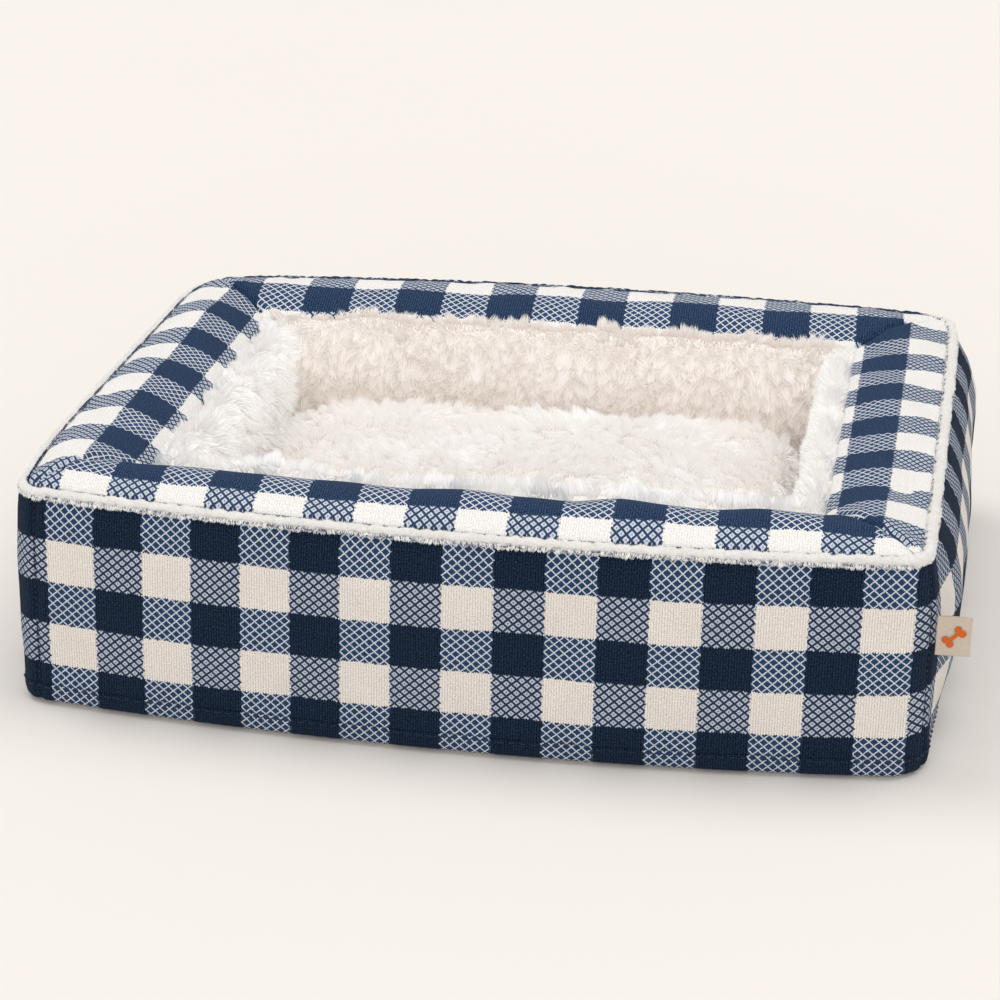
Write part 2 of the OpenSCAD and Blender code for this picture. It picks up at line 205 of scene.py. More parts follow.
def grid(name, P, cloth=None, mat=None, wrap_u=False, wrap_v=False, flip=False, smoothed=True):
    nu, nv = P.shape[:2]
    q = grid_faces(nu, nv, wrap_u, wrap_v, flip)
    uu, vv = np.meshgrid(np.linspace(0, 1, nu), np.linspace(0, 1, nv), indexing="ij")
    uvs = {"OFBake": np.stack([uu, vv], -1).reshape(-1, 2)}
    if cloth is not None:
        uvs["cloth"] = np.asarray(cloth).reshape(-1, 2)
    if wrap_u or wrap_v:                       # closed rings: repeat the first row so the maps don't run backwards
        if wrap_u:
            P = np.concatenate([P, P[:1]], 0)
            if cloth is not None:
                step = cloth[1:2] - cloth[:1]
                cloth = np.concatenate([cloth, cloth[-1:] + step], 0)
        if wrap_v:
            P = np.concatenate([P, P[:, :1]], 1)
            if cloth is not None:
                step = cloth[:, 1:2] - cloth[:, :1]
                cloth = np.concatenate([cloth, cloth[:, -1:] + step], 1)
        return grid(name, P, cloth, mat, False, False, flip, smoothed)
    return mesh_of(name, P.reshape(-1, 3), q.ravel(), np.full(len(q), 4), uvs, mat, smoothed)


def tris_of(P, flip=False):
    """Vertices and triangles of a grid, for scattering on."""
    q = grid_faces(P.shape[0], P.shape[1], flip=flip)
    return P.reshape(-1, 3), np.concatenate([q[:, [0, 1, 2]], q[:, [0, 2, 3]]])


def ribbon(name, line, radius, mat, sides=8, closed=False, squash=1.0):
    """A tube along points in millimetres."""
    L = np.asarray(line, float)
    if closed:
        T = np.roll(L, -1, 0) - np.roll(L, 1, 0)
    else:
        T = np.gradient(L, axis=0)
    T /= np.linalg.norm(T, axis=1)[:, None] + 1e-9
    up = np.array([0, 0, 1.0])
    S = np.cross(T, up)
    S /= np.linalg.norm(S, axis=1)[:, None] + 1e-9
    U = np.cross(S, T)
    ang = np.linspace(0, 2 * np.pi, sides, endpoint=False)
    r = np.broadcast_to(radius, (len(L),))
    P = L[:, None] + r[:, None, None] * (np.cos(ang)[None, :, None] * S[:, None] + np.sin(ang)[None, :, None] * U[:, None] * squash)
    return P


# ---------------------------------------------------------------- shader building
class Mat:
    def __init__(self, name, rough=0.85, sheen=0.0, sheen_tint=(1, 1, 1, 1), spec=0.3):
        m = bpy.data.materials.new(name)
        m.use_nodes = True
        self.m, self.nt = m, m.node_tree
        self.nt.nodes.clear()
        self.out = self.nt.nodes.new("ShaderNodeOutputMaterial")
        self.b = self.nt.nodes.new("ShaderNodeBsdfPrincipled")
        self.nt.links.new(self.b.outputs[0], self.out.inputs[0])
        self.b.inputs["Roughness"].default_value = rough
        self.b.inputs["Specular IOR Level"].default_value = spec
        self.b.inputs["Sheen Weight"].default_value = sheen
        self.b.inputs["Sheen Roughness"].default_value = 0.5
        self.b.inputs["Sheen Tint"].default_value = sheen_tint

    def put(self, sock, v):
        if isinstance(v, bpy.types.NodeSocket):
            self.nt.links.new(v, sock)
        else:
            sock.default_value = v

    def math(self, op, *a, clamp=False):
        n = self.nt.nodes.new("ShaderNodeMath")
        n.operation, n.use_clamp = op, clamp
        for k, v in enumerate(a):
            self.put(n.inputs[k], v)
        return n.outputs[0]

    def add(self, a, b): return self.math("ADD", a, b)
    def sub(self, a, b): return self.math("SUBTRACT", a, b)
    def mul(self, a, b): return self.math("MULTIPLY", a, b)
    def fract(self, a): return self.math("FRACT", a)
    def floor(self, a): return self.math("FLOOR", a)
    def abs(self, a): return self.math("ABSOLUTE", a)

    def ramp01(self, v, a, b, lo=0.0, hi=1.0):
        n = self.nt.nodes.new("ShaderNodeMapRange")
        n.interpolation_type = "SMOOTHSTEP"
        for k, x in zip(("Value", "From Min", "From Max", "To Min", "To Max"), (v, a, b, lo, hi)):
            self.put(n.inputs[k], x)
        return n.outputs[0]

    def mix(self, f, a, b, mode="MIX"):
        n = self.nt.nodes.new("ShaderNodeMix")
        n.data_type, n.blend_type = "RGBA", mode
        self.put(n.inputs[0], f)
        self.put(n.inputs[6], a)
        self.put(n.inputs[7], b)
        return n.outputs[2]

    def uv(self, name):
        n = self.nt.nodes.new("ShaderNodeUVMap")
        n.uv_map = name
        s = self.nt.nodes.new("ShaderNodeSeparateXYZ")
        self.nt.links.new(n.outputs[0], s.inputs[0])
        return n.outputs[0], s.outputs[0], s.outputs[1]

    def pos(self):
        return self.nt.nodes.new("ShaderNodeTexCoord").outputs["Object"]

    def xyz(self, v):
        s = self.nt.nodes.new("ShaderNodeSeparateXYZ")
        self.nt.links.new(v, s.inputs[0])
        return s.outputs

    def vec(self, x, y, z=0.0):
        n = self.nt.nodes.new("ShaderNodeCombineXYZ")
        for k, v in enumerate((x, y, z)):
            self.put(n.inputs[k], v)
        return n.outputs[0]

    def noise(self, vec, scale, detail=2.0, rough=0.5):
        n = self.nt.nodes.new("ShaderNodeTexNoise")
        self.put(n.inputs["Vector"], vec)
        n.inputs["Scale"].default_value = scale
        n.inputs["Detail"].default_value = detail
        n.inputs["Roughness"].default_value = rough
        return n.outputs[0]

    def white1(self, v):
        n = self.nt.nodes.new("ShaderNodeTexWhiteNoise")
        n.noise_dimensions = "1D"
        self.put(n.inputs["W"], v)
        return n.outputs["Value"]

    def bump(self, height, strength=0.5, dist=0.001):
        n = self.nt.nodes.new("ShaderNodeBump")
        n.inputs["Strength"].default_value = strength
        n.inputs["Distance"].default_value = dist
        self.put(n.inputs["Height"], height)
        self.nt.links.new(n.outputs[0], self.b.inputs["Normal"])

    def color(self, c): self.put(self.b.inputs["Base Color"], c)
    def rough(self, r): self.put(self.b.inputs["Roughness"], r)


def gray(v):
    return (v, v, v, 1.0)


def gingham(name, navy, navy2, blue_a, white_a, pale_b, dark_b, mark_b, cream, cream2, sheen, relief=0.8):
    """Knitted check: navy, two kinds of trellis and cream. The map 'cloth' counts checks."""
    m = Mat(name, 0.9, sheen, (0.75, 0.82, 0.95, 1), 0.12)
    vec, U, V = m.uv("cloth")
    rib = m.mul(U, 31.75 / 1.65)
    row = m.mul(V, 31.75 / 1.45)
    warpn = m.sub(m.noise(vec, 9.0, 2.0), 0.5)
    jr = m.sub(m.white1(m.floor(row)), 0.5)
    jc = m.sub(m.white1(m.add(m.floor(rib), 711.0)), 0.5)
    scal = m.abs(m.math("SINE", m.mul(rib, math.pi)))
    U2 = m.add(U, m.add(m.mul(jr, 0.042), m.mul(warpn, 0.022)))
    V2 = m.add(V, m.add(m.mul(jc, 0.026), m.mul(m.sub(scal, 0.5), 0.030)))
    odd_u = m.mul(m.fract(m.mul(m.floor(U2), 0.5)), 2.0)
    odd_v = m.mul(m.fract(m.mul(m.floor(V2), 0.5)), 2.0)
    # trellis
    wl = m.sub(m.noise(vec, 26.0, 2.0, 0.6), 0.5)
    p = m.add(m.mul(m.add(U, V), 5.0), m.mul(wl, 0.16))
    q = m.add(m.mul(m.sub(U, V), 5.0), m.mul(wl, -0.16))
    dp = m.abs(m.sub(m.fract(p), 0.5))
    dq = m.abs(m.sub(m.fract(q), 0.5))
    dm = m.math("MAXIMUM", dp, dq)
    brk = m.noise(vec, 60.0, 1.0)
    edge = m.add(0.412, m.mul(m.sub(brk, 0.5), 0.11))
    line = m.ramp01(m.sub(dm, edge), -0.018, 0.018)
    line_b = m.ramp01(m.sub(dm, m.sub(edge, 0.075)), -0.018, 0.018)
    mark = m.ramp01(dm, 0.15, 0.09)
    # the knit; its colours darken between the ribs, painted shade in the grooves
    tri = m.abs(m.sub(m.fract(rib), 0.5))
    vee = m.abs(m.math("SINE", m.mul(m.add(row, m.mul(tri, 1.0)), math.pi)))
    knit = m.mul(m.math("POWER", scal, 0.7), m.add(0.45, m.mul(vee, 0.55)))
    fine = m.ramp01(m.noise(m.vec(m.mul(U, 31.75), m.mul(V, 31.75), 0.0), 0.85, 3.0, 0.65), 0.25, 0.75)
    big = m.noise(vec, 1.1, 3.0, 0.6)
    shade = m.add(0.70, m.mul(knit, 0.36))
    c_navy = m.mix(m.ramp01(m.add(m.mul(fine, 0.55), m.mul(knit, 0.45)), 0.38, 0.82), navy, navy2)
    c_cream = m.mix(m.ramp01(knit, 0.05, 0.75), cream2, cream)
    c_a = m.mix(line, blue_a, white_a)
    c_b = m.mix(line_b, m.mix(mark, pale_b, mark_b), dark_b)
    c_a = m.mix(m.mul(m.sub(1.0, knit), 0.34), c_a, (0.02, 0.045, 0.10, 1))
    c_b = m.mix(m.mul(m.sub(1.0, knit), 0.30), c_b, (0.10, 0.14, 0.22, 1))
    rowa = m.mix(odd_u, c_navy, c_a)
    rowb = m.mix(odd_u, c_b, c_cream)
    col = m.mix(odd_v, rowb, rowa)
    val = m.mul(m.add(0.94, m.mul(big, 0.12)), m.add(0.84, m.mul(fine, 0.32)))
    col = m.mix(1.0, col, m.vec(val, val, val), "MULTIPLY")
    m.color(col)
    m.rough(m.ramp01(fine, 0.3, 0.7, 0.82, 0.97))
    hgt = m.add(m.mul(knit, 0.62), m.mul(fine, 0.95))
    m.bump(hgt, relief, 0.0010)
    return m.m


# Two copies of one knit: the front's colours are darker, painted shade for the dimmer light on the sides, and the
# rim's copy is painted lighter for the top light on the rim.
NAVY_F, NAVY_F2 = lin(7, 17, 32), lin(34, 57, 85)
GING = gingham("gingham", NAVY_F, NAVY_F2, lin(42, 68, 104), lin(230, 236, 242), lin(206, 214, 226), lin(24, 42, 72),
               lin(112, 132, 162), lin(250, 244, 238), lin(214, 205, 197), 0.02, 0.65)
GING_RIM_LIT = gingham("gingham_rim", lin(17, 36, 64), lin(56, 84, 122), lin(48, 76, 118), lin(246, 249, 252), lin(222, 229, 238),
                   lin(36, 60, 98), lin(150, 168, 196), lin(255, 253, 251), lin(240, 236, 232), 0.05, 0.6)


def soft_mat(name, c1, c2, scale=300, rough=0.95, sheen=0.3, relief=0.5, dist=0.0012, detail=5):
    m = Mat(name, rough, sheen, (1, 0.98, 0.96, 1), 0.1)
    p = m.pos()
    n1 = m.noise(p, scale, detail, 0.65)
    n2 = m.noise(p, scale * 0.12, 3, 0.6)
    f = m.ramp01(m.add(m.mul(n1, 0.7), m.mul(n2, 0.3)), 0.35, 0.62)
    m.color(m.mix(f, c1, c2))
    m.rough(m.ramp01(n1, 0.3, 0.7, rough - 0.1, min(rough + 0.05, 1.0)))
    m.bump(n1, relief, dist)
    return m.m


def weave_mat(name, c1, c2, pitch=0.8, rough=0.85, sheen=0.1, relief=0.5):
    """Plain weave over the object's own coordinates, threads along X+Z and Y."""
    m = Mat(name, rough, sheen, (1, 1, 1, 1), 0.2)
    x, y, z = m.xyz(m.pos())
    k = math.pi / (pitch * 0.001)
    a = m.math("SINE", m.mul(m.add(x, m.mul(y, 0.13)), k))
    b = m.math("SINE", m.mul(m.add(m.add(z, y), m.mul(x, 0.02)), k))
    w = m.add(m.mul(m.mul(a, b), 0.5), 0.5)
    n1 = m.noise(m.pos(), 450, 4, 0.7)
    n2 = m.noise(m.pos(), 18, 3, 0.6)
    f = m.add(m.add(m.mul(w, 0.5), m.mul(n1, 0.3)), m.mul(n2, 0.25))
    m.color(m.mix(m.ramp01(f, 0.25, 0.8), c1, c2))
    m.rough(m.ramp01(n1, 0.3, 0.7, rough - 0.1, min(1.0, rough + 0.08)))
    m.bump(m.add(w, m.mul(n1, 0.5)), relief, 0.0004)
    return m.m


def fur_mat(name, root, mid, tip, tone=(0.88, 0.13), tint=(0.997, 0.99)):
    """Pile: colour runs from a darker root, painted shade deep in the pile, to a light tip and varies from strand to
    strand.
    """
    m = Mat(name, 0.8, 0.25, (1, 0.98, 0.96, 1), 0.15)
    vec, u, v = m.uv("OFBake")
    r = m.noise(m.vec(m.mul(u, 170.0), 0.0, 0.0), 1.0, 1.0)
    r = m.ramp01(r, 0.3, 0.7)
    c = m.mix(m.ramp01(v, 0.0, 0.45), root, mid)
    c = m.mix(m.ramp01(v, 0.35, 0.95), c, tip)
    k = m.add(tone[0], m.mul(r, tone[1]))
    c = m.mix(1.0, c, m.vec(k, m.mul(k, tint[0]), m.mul(k, tint[1])), "MULTIPLY")
    m.color(c)
    m.rough(m.ramp01(r, 0, 1, 0.7, 0.9))
    m.bump(m.noise(vec, 90, 2), 0.15, 0.0003)
    return m.m


# Three copies of one pile, painted lighter or darker for the light each place gets: the back wall's darker for its
# shade, the cushion's (also on the left and front walls) lighter, and the right wall's lightest where the key light
# falls on it.
FUR = fur_mat("plush_pile", lin(210, 197, 189), lin(239, 230, 224), lin(253, 250, 249))
FUR_TOP = fur_mat("plush_pile_cushion", lin(216, 209, 205), lin(250, 249, 249), lin(255, 255, 255), (0.93, 0.07), (1.0, 1.0))
FUR_LIT_RIGHT = fur_mat("plush_pile_lit_right", lin(238, 232, 228), lin(252, 251, 250), lin(255, 255, 255), (0.94, 0.06), (1.0, 1.0))
PLUSH_BASE = soft_mat("plush_backing", lin(242, 234, 227), lin(251, 247, 243), 420, 0.95, 0.4, 0.8)
FLEECE = soft_mat("fleece", lin(232, 230, 227), lin(250, 249, 247), 900, 0.95, 0.4, 0.9, 0.0014)
FIBRE = fur_mat("fleece_fibre", lin(232, 230, 228), lin(246, 245, 243), lin(252, 252, 251))
FIBRE_NAVY = fur_mat("cover_fibre", lin(34, 54, 84), lin(70, 92, 124), lin(110, 130, 158))
WADDING = soft_mat("wadding", lin(226, 226, 222), lin(244, 243, 239), 500, 0.95, 0.2, 0.7)
FOAM = soft_mat("foam", lin(214, 206, 180), lin(234, 228, 206), 900, 0.9, 0.1, 0.8)
LINING = weave_mat("lining", lin(214, 207, 198), lin(233, 227, 219), 0.9, 0.85, 0.1)
NONSLIP = weave_mat("nonslip", lin(22, 28, 40), lin(44, 54, 72), 1.1, 0.8, 0.15)
DOTS = soft_mat("dots", lin(16, 20, 28), lin(30, 36, 48), 260, 0.6, 0.0, 0.3)
THREAD_L = weave_mat("thread_light", lin(196, 200, 208), lin(232, 234, 238), 0.5, 0.7, 0.2)
THREAD_N = weave_mat("thread_navy", lin(14, 24, 42), lin(34, 50, 76), 0.5, 0.7, 0.2)
TAPE = weave_mat("zip_tape", lin(20, 30, 50), lin(42, 56, 82), 0.7, 0.8, 0.15)
COIL = soft_mat("zip_coil", lin(18, 27, 44), lin(44, 58, 84), 500, 0.4, 0.0, 0.25)
LABEL = weave_mat("label", lin(182, 168, 152), lin(216, 203, 188), 0.8, 0.85, 0.1)
PRINT = weave_mat("label_print", lin(196, 84, 30), lin(222, 112, 48), 0.55, 0.8, 0.05)


def metal_mat():
    m = Mat("zip_metal", 0.35, 0.0)
    p = m.pos()
    n = m.noise(p, 500, 4, 0.7)
    w = m.noise(p, 60, 3, 0.6)
    m.color(m.mix(m.ramp01(w, 0.35, 0.65), lin(150, 150, 152), lin(196, 196, 198)))
    m.b.inputs["Metallic"].default_value = 1.0
    m.rough(m.ramp01(n, 0.3, 0.7, 0.26, 0.46))
    m.bump(n, 0.12, 0.0003)
    return m.m


METAL = metal_mat()

# ---------------------------------------------------------------- panels
pieces = {}


def arc_of(P, zrow):
    """Arc length along the first axis of a grid at one column."""
    L = P[:, zrow]
    d = np.linalg.norm(np.diff(L[:, :2], axis=0), axis=1)
    return np.concatenate([[0], np.cumsum(d)])


def zrow_uv(z):
    return (z - 29.3) / 28.54


def end_cu(kind, a):
    """The end panels carry the front's columns on round the corner."""
    return 18.38 + a / 31.75 if kind == "right" else 0.74 - (a[-1] - a) / 31.75


def panel(name, s0, s1, n_s, kind, nodes, body="bed"):
    s = np.linspace(s0, s1, n_s)
    z = np.concatenate([np.linspace(14.6, 16.8, 3), np.linspace(18.5, 134.0, 46), np.linspace(135.5, 140.6, 4)])
    Sg, Zg = np.meshgrid(s, z, indexing="ij")
    P = shape_back(face(Sg, Zg))
    # turned-in edges at the seams
    inn = shape_back(face(Sg, Zg, 2.6), 2.6)
    W = P
    W = np.concatenate([inn[:, :1] + [0, 0, 0.3], W, inn[:, -1:] + [0, 0, -0.3]], 1)
    first, last = inn[:1], inn[-1:]
    first = np.concatenate([first[:, :1], first, first[:, -1:]], 1)
    last = np.concatenate([last[:, :1], last, last[:, -1:]], 1)
    W = np.concatenate([first, W, last], 0)
    if kind == "front":
        cu = W[..., 0] / 31.75 + 9.5
    elif kind == "back":
        cu = -W[..., 0] / 31.75 + 9.5
    else:
        a = arc_of(W[1:-1], 24)
        a = np.concatenate([[a[0]], a, [a[-1]]])
        cu = np.broadcast_to(end_cu(kind, a)[:, None], W.shape[:2])
    cv = zrow_uv(W[..., 2])
    ob = grid(name, W, np.stack([cu, cv], -1), GING)
    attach(ob, body)
    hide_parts(*nodes)
    area = None
    a = arc_of(W[1:-1], 24)[-1] / 1000
    pieces[name] = ob
    return ob


panel("front_panel_cloth", SEAMS["FL"], SEAMS["FR"], 232, "front", ["front_panel"])
panel("right_panel_cloth", SEAMS["FR"], SEAMS["BR"], 190, "right", ["right_panel"])
panel("back_panel_cloth", SEAMS["BR"], SEAMS["BL"], 232, "back", ["back_panel"])
panel("left_panel_cloth", SEAMS["BL"], SEAMS["FL"] + LEN, 190, "left", ["left_panel"])

# hems: a folded band round the foot, a little proud of the stitch groove
HEM = {"front": (SEAMS["FL"], SEAMS["FR"]), "right": (SEAMS["FR"], SEAMS["BR"]),
       "back": (SEAMS["BR"], SEAMS["BL"]), "left": (SEAMS["BL"], SEAMS["FL"] + LEN)}
for side, (s0, s1) in HEM.items():
    n_s = 200
    s = np.linspace(s0, s1, n_s)
    z = np.array([15.0, 14.7, 14.2, 13.0, 11.0, 8.5, 6.0, 4.0, 2.4, 1.3, 0.85, 0.85])
    ins = np.array([2.6, 1.3, 0.25, -0.35, -0.55, -0.55, -0.4, -0.1, 0.0, 0.2, 1.2, 6.0])
    Sg, Zg = np.meshgrid(s, z, indexing="ij")
    Ig = np.broadcast_to(ins, Sg.shape)
    P = face(Sg, Zg, Ig)
    P = shape_back(P, ins[None, :])
    if side in ("front", "back"):
        cu = P[..., 0] / 31.75 * (1 if side == "front" else -1) + 9.5
    else:
        a = arc_of(P, 4)
        cu = np.broadcast_to(end_cu(side, a)[:, None], P.shape[:2])
    arc = np.concatenate([[0], np.cumsum(np.hypot(np.diff(z), np.diff(ins)))])
    cv = np.broadcast_to(((16.0 - arc - 29.3) / 28.54)[None, :], P.shape[:2])
    ob = grid("hem_" + side + "_band", P, np.stack([cu, cv], -1), GING, flip=True)
    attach(ob, "bed")
    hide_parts("hem_" + side)
    pieces["hem_" + side] = ob


def dashes(name, pts, normals, mat, length=4.6, gap=2.2, r=0.42, lift=0.25, nodes=(), step_off=0.0):
    """Row of stitches along a line of points on the cloth: each a short thread with dipping ends."""
    pts, normals = np.asarray(pts, float), np.asarray(normals, float)
    d = np.concatenate([[0], np.cumsum(np.linalg.norm(np.diff(pts, axis=0), axis=1))])
    allV, allF, allS, uv = [], [], [], []
    c = step_off
    base_i = 0
    k = 0
    while c + length < d[-1]:
        tt = np.linspace(c, c + length, 6)
        L = np.stack([np.interp(tt, d, pts[:, i]) for i in range(3)], -1)
        Nn = np.stack([np.interp(tt, d, normals[:, i]) for i in range(3)], -1)
        Nn /= np.linalg.norm(Nn, axis=1)[:, None]
        h = lift * np.array([-2.2, 0.6, 1.0, 1.0, 0.6, -2.2])
        L = L + Nn * h[:, None]
        T = np.gradient(L, axis=0)
        T /= np.linalg.norm(T, axis=1)[:, None]
        S = np.cross(T, Nn)
        ang = np.linspace(0, 2 * np.pi, 6, endpoint=False)
        rr = r * np.array([0.5, 1, 1.05, 1.05, 1, 0.5])
        V = L[:, None] + rr[:, None, None] * (np.cos(ang)[None, :, None] * S[:, None] + np.sin(ang)[None, :, None] * Nn[:, None])
        q = grid_faces(6, 6, wrap_v=True, off=base_i)
        allV.append(V.reshape(-1, 3)); allF.append(q.ravel()); allS.append(np.full(len(q), 4))
        g = np.stack(np.meshgrid(np.linspace(0.02, 0.98, 6), np.linspace(0.02, 0.98, 6), indexing="ij"), -1).reshape(-1, 2)
        uv.append(g)
        base_i += 36
        c += length + gap
        k += 1
    ob = mesh_of(name, np.concatenate(allV), np.concatenate(allF), np.concatenate(allS), {"OFBake": np.concatenate(uv)}, mat)
    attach(ob, "bed")
    if nodes:
        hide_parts(*nodes)
    return ob


def line_on_face(s, z, inset=0.0):
    P = shape_back(face(s, z + 0 * s, inset), inset)
    P2 = shape_back(face(s, z + 0 * s, inset + 3.0), inset + 3.0)
    n = P - P2
    return P, n / (np.linalg.norm(n, axis=1)[:, None] + 1e-9)


s_all = np.linspace(0, LEN, 1600)
P, Nn = line_on_face(s_all, 12.4, -0.5)
dashes("hem_stitching", P, Nn, THREAD_N, nodes=["hem_thread"])
zz = np.linspace(17, 137, 80)
allp = []
for i, (k, c) in enumerate(SEAMS.items()):
    P = shape_back(face(np.full_like(zz, c), zz, -0.5))
    P2 = shape_back(face(np.full_like(zz, c), zz, 2.5))
    n = P - P2
    n /= np.linalg.norm(n, axis=1)[:, None]
    dashes("corner_stitching_" + k, P, n, THREAD_N, 2.6, 1.6, 0.4, 0.1,
           nodes=["corner_threads"] if i == 0 else ())

# ---------------------------------------------------------------- rim
D0, D1 = 3.2, 68.0


def side_curve(side, A, B, r, t):
    L, M = (A, B) if side in ("front", "back") else (B, A)
    q, S = math.pi * r / 4, 2 * (L - r)
    s = t * (S + 2 * q)
    lo, hi = s < q, s > q + S
    c = np.where(lo, -(L - r) - r * np.sin((q - s) / r), np.where(hi, (L - r) + r * np.sin((s - q - S) / r), -(L - r) + s - q))
    o = np.where(lo, M - r + r * np.cos((q - s) / r), np.where(hi, M - r + r * np.cos((s - q - S) / r), M))
    return {"front": (c, -o), "right": (o, c), "back": (-c, o), "left": (-o, -c)}[side]


CROWN = {"front": 16.0, "back": 8.0, "left": 12.5, "right": 5.5}
DROP = {"front": 10.6, "back": 9.0, "left": 10.6, "right": 6.0}


def rim_z(u, side):
    """Height across the padded rim; the crowns run together at the mitres."""
    return 145.6 - DROP[side] * u + CROWN[side] * np.sin(np.pi * np.clip(u, 0, 1)) ** 0.9


def ring_point(side, t, d, z, r=None):
    """Point at depth d inside the piping line, t along one side between its mitres."""
    rr = np.maximum(R0 - d, 1.0) if r is None else r
    x, y = side_curve(side, A0 - d, B0 - d, rr, t)
    return np.stack([x, y, z + 0 * x], -1)


def rim(side):
    n_t = 230 if side in ("front", "back") else 180
    t = np.linspace(0, 1, n_t)
    d = np.concatenate([[D0 + 0.3, D0, D0 + 0.2], np.linspace(D0 + 1.2, D1 - 1, 34), [D1, D1 + 0.8, D1 + 1.0]])
    zr = np.concatenate([[138.0, 143.0, 145.0], rim_z((np.linspace(D0 + 1.2, D1 - 1, 34) - D0) / (D1 - D0), side), [133.8, 131.0, 126.0]])
    T, D = np.meshgrid(t, d, indexing="ij")
    Z = np.broadcast_to(zr, T.shape).copy()
    P = ring_point(side, T, D, Z)
    L = 2 * (A0 if side in ("front", "back") else B0)
    # distance to the nearer mitre, along the side
    dm = np.minimum(T, 1 - T) * (L - 2 * D)
    inner = (D > D0 + 0.5) & (D < D1)
    P[..., 2] -= (2.6 * np.exp(-(dm / 2.4) ** 2) - 0.9 * np.exp(-((dm - 9) / 6) ** 2)) * inner
    U = np.clip((D - D0) / (D1 - D0), 0, 1)
    own, other = CROWN[side], (CROWN["left"] if side in ("front", "back") else np.where((P[..., 1] < 0), CROWN["front"], CROWN["back"]))
    oth_d = DROP["left"] if side in ("front", "back") else np.where((P[..., 1] < 0), DROP["front"], DROP["back"])
    if side in ("front", "back"):
        other = np.where(P[..., 0] < 0, CROWN["left"], CROWN["right"])
        oth_d = np.where(P[..., 0] < 0, DROP["left"], DROP["right"])
    near_m = (1 - smooth(dm / 70)) * inner
    P[..., 2] += ((other - own) / 2 * np.sin(np.pi * U) ** 0.9 - (oth_d - DROP[side]) / 2 * U) * near_m
    p2 = P[..., :2]
    body = smooth((D - D0) / 12) * smooth((D1 + 2 - D) / 14)
    P[..., 2] += (1.0 * wob(p2, 120, 21) + 0.45 * wob(p2, 42, 22)) * body
    pk = np.exp(-(D - D0) / 7.0) * inner
    along = P[..., 0] if side in ("front", "back") else P[..., 1]
    P[..., 2] += 0.55 * wob(np.stack([along, 0 * along], -1), 16, 23 + len(side)) * pk
    ppk = np.exp(-(dm / 14.0) ** 2) * body
    P[..., 2] += 0.6 * wob(np.stack([D, 0 * D], -1), 13, 31 + len(side)) * ppk
    W = warp(P)
    tab = {"front": ([4.0, 17.5, 47, 68], [0.55, 1, 2, 2.7]), "back": ([4.0, 31.5, 61.5, 68], [0, 1, 2, 2.2]),
           "left": ([4.0, 34.5, 61.0, 68], [0, 1, 2, 2.3]), "right": ([4.0, 29.5, 60.5, 68], [0, 1, 2, 2.25])}[side]
    cv = np.interp(D, *tab)
    if side == "front":
        cu = (W[..., 0] + 10) / 31.6 + 1
    elif side == "back":
        cu = (W[..., 0] + 219) / 33.9 + 1
    elif side == "left":
        cu = (W[..., 1] + 20) / 31.6
    else:
        cu = (W[..., 1] - 3) / 30.45 + 1
    ob = grid("rim_" + side + "_cloth", W, np.stack([cu, cv], -1), GING_RIM_LIT)
    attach(ob, "bed")
    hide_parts("rim_" + side)
    pieces["rim_" + side] = ob
    return W


RIM_W = {side: rim(side) for side in ("front", "back", "left", "right")}

# ---------------------------------------------------------------- piping
n_p = 1400
s = np.linspace(0, LEN, n_p, endpoint=False)
x, y, nx, ny = base(s)
wv = 0.35 * wob(np.stack([x, y], -1), 26, 41) + 0.25 * wob(np.stack([x, y], -1), 9, 42)
LINE = warp(np.stack([x + nx * 0.2 * wv, y + ny * 0.2 * wv, H + 0.5 * wv], -1))
def by_side(front, right, back, left):
    v = np.where(s < S_FR, front, np.where(s < S_RB + Q, right, np.where(s < S_BL + Q, back, np.where(s < S_LF + Q, left, front))))
    k = np.hanning(25); k /= k.sum()
    return np.convolve(np.pad(v, 12, mode="wrap"), k, mode="valid")


PR = by_side(3.15, 3.6, 2.5, 3.2)
rough_p = by_side(1.0, 1.0, 0.2, 0.35)
xy = np.stack([x, y], -1)
LINE[:, 2] += rough_p * 0.35 * wob(xy, 11, 45) - by_side(0, 0, 1.2, 0.6)
PIPE = ribbon("", LINE, PR + rough_p * (0.34 * wob(xy, 8, 43) + 0.26 * wob(xy, 4.2, 44)), None, 18, True)
ob = grid("piping_fleece", PIPE, None, FLEECE, wrap_u=True, wrap_v=True, flip=True)
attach(ob, "bed")
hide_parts("piping_sleeve")
pieces["piping"] = ob
ob = grid("piping_core", ribbon("", LINE, 1.6, None, 8, True), None, LINING, wrap_u=True, wrap_v=True, flip=True)
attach(ob, "bed")
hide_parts("piping_cord")

sl = s[(s > S_RB + Q * 0.5) & (s < S_LF + Q * 0.5)]
xb, yb, nxb, nyb = base(sl)
eo = np.interp(sl, [S_BL - 30, S_BL + Q + 30], [1.0, -3.2])
zo = np.interp(sl, [S_BL - 30, S_BL + Q + 30], [H + 1.6, H + 0.6]) + 0.3 * wob(np.stack([xb, yb], -1), 9, 47)
LB = warp(np.stack([xb + nxb * eo, yb + nyb * eo, zo], -1))
cu = np.concatenate([[0], np.cumsum(np.linalg.norm(np.diff(LB, axis=0), axis=1))]) / 31.75
TB = ribbon("", LB, 0.72 + 0.2 * wob(np.stack([xb, yb], -1), 5, 48), None, 8)
cl = np.stack(np.broadcast_arrays(cu[:, None], 1.2 + np.linspace(0, 0.25, 8)[None, :]), -1)
ob = grid("piping_seam_edge", TB, cl, GING_RIM_LIT, wrap_v=True, flip=True)
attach(ob, "bed")


# ---------------------------------------------------------------- pile
def vnormals(V, T):
    fn = np.cross(V[T[:, 1]] - V[T[:, 0]], V[T[:, 2]] - V[T[:, 0]])
    N = np.zeros_like(V)
    for k in range(3):
        np.add.at(N, T[:, k], fn)
    return N / (np.linalg.norm(N, axis=1)[:, None] + 1e-9), np.linalg.norm(fn, axis=1) / 2


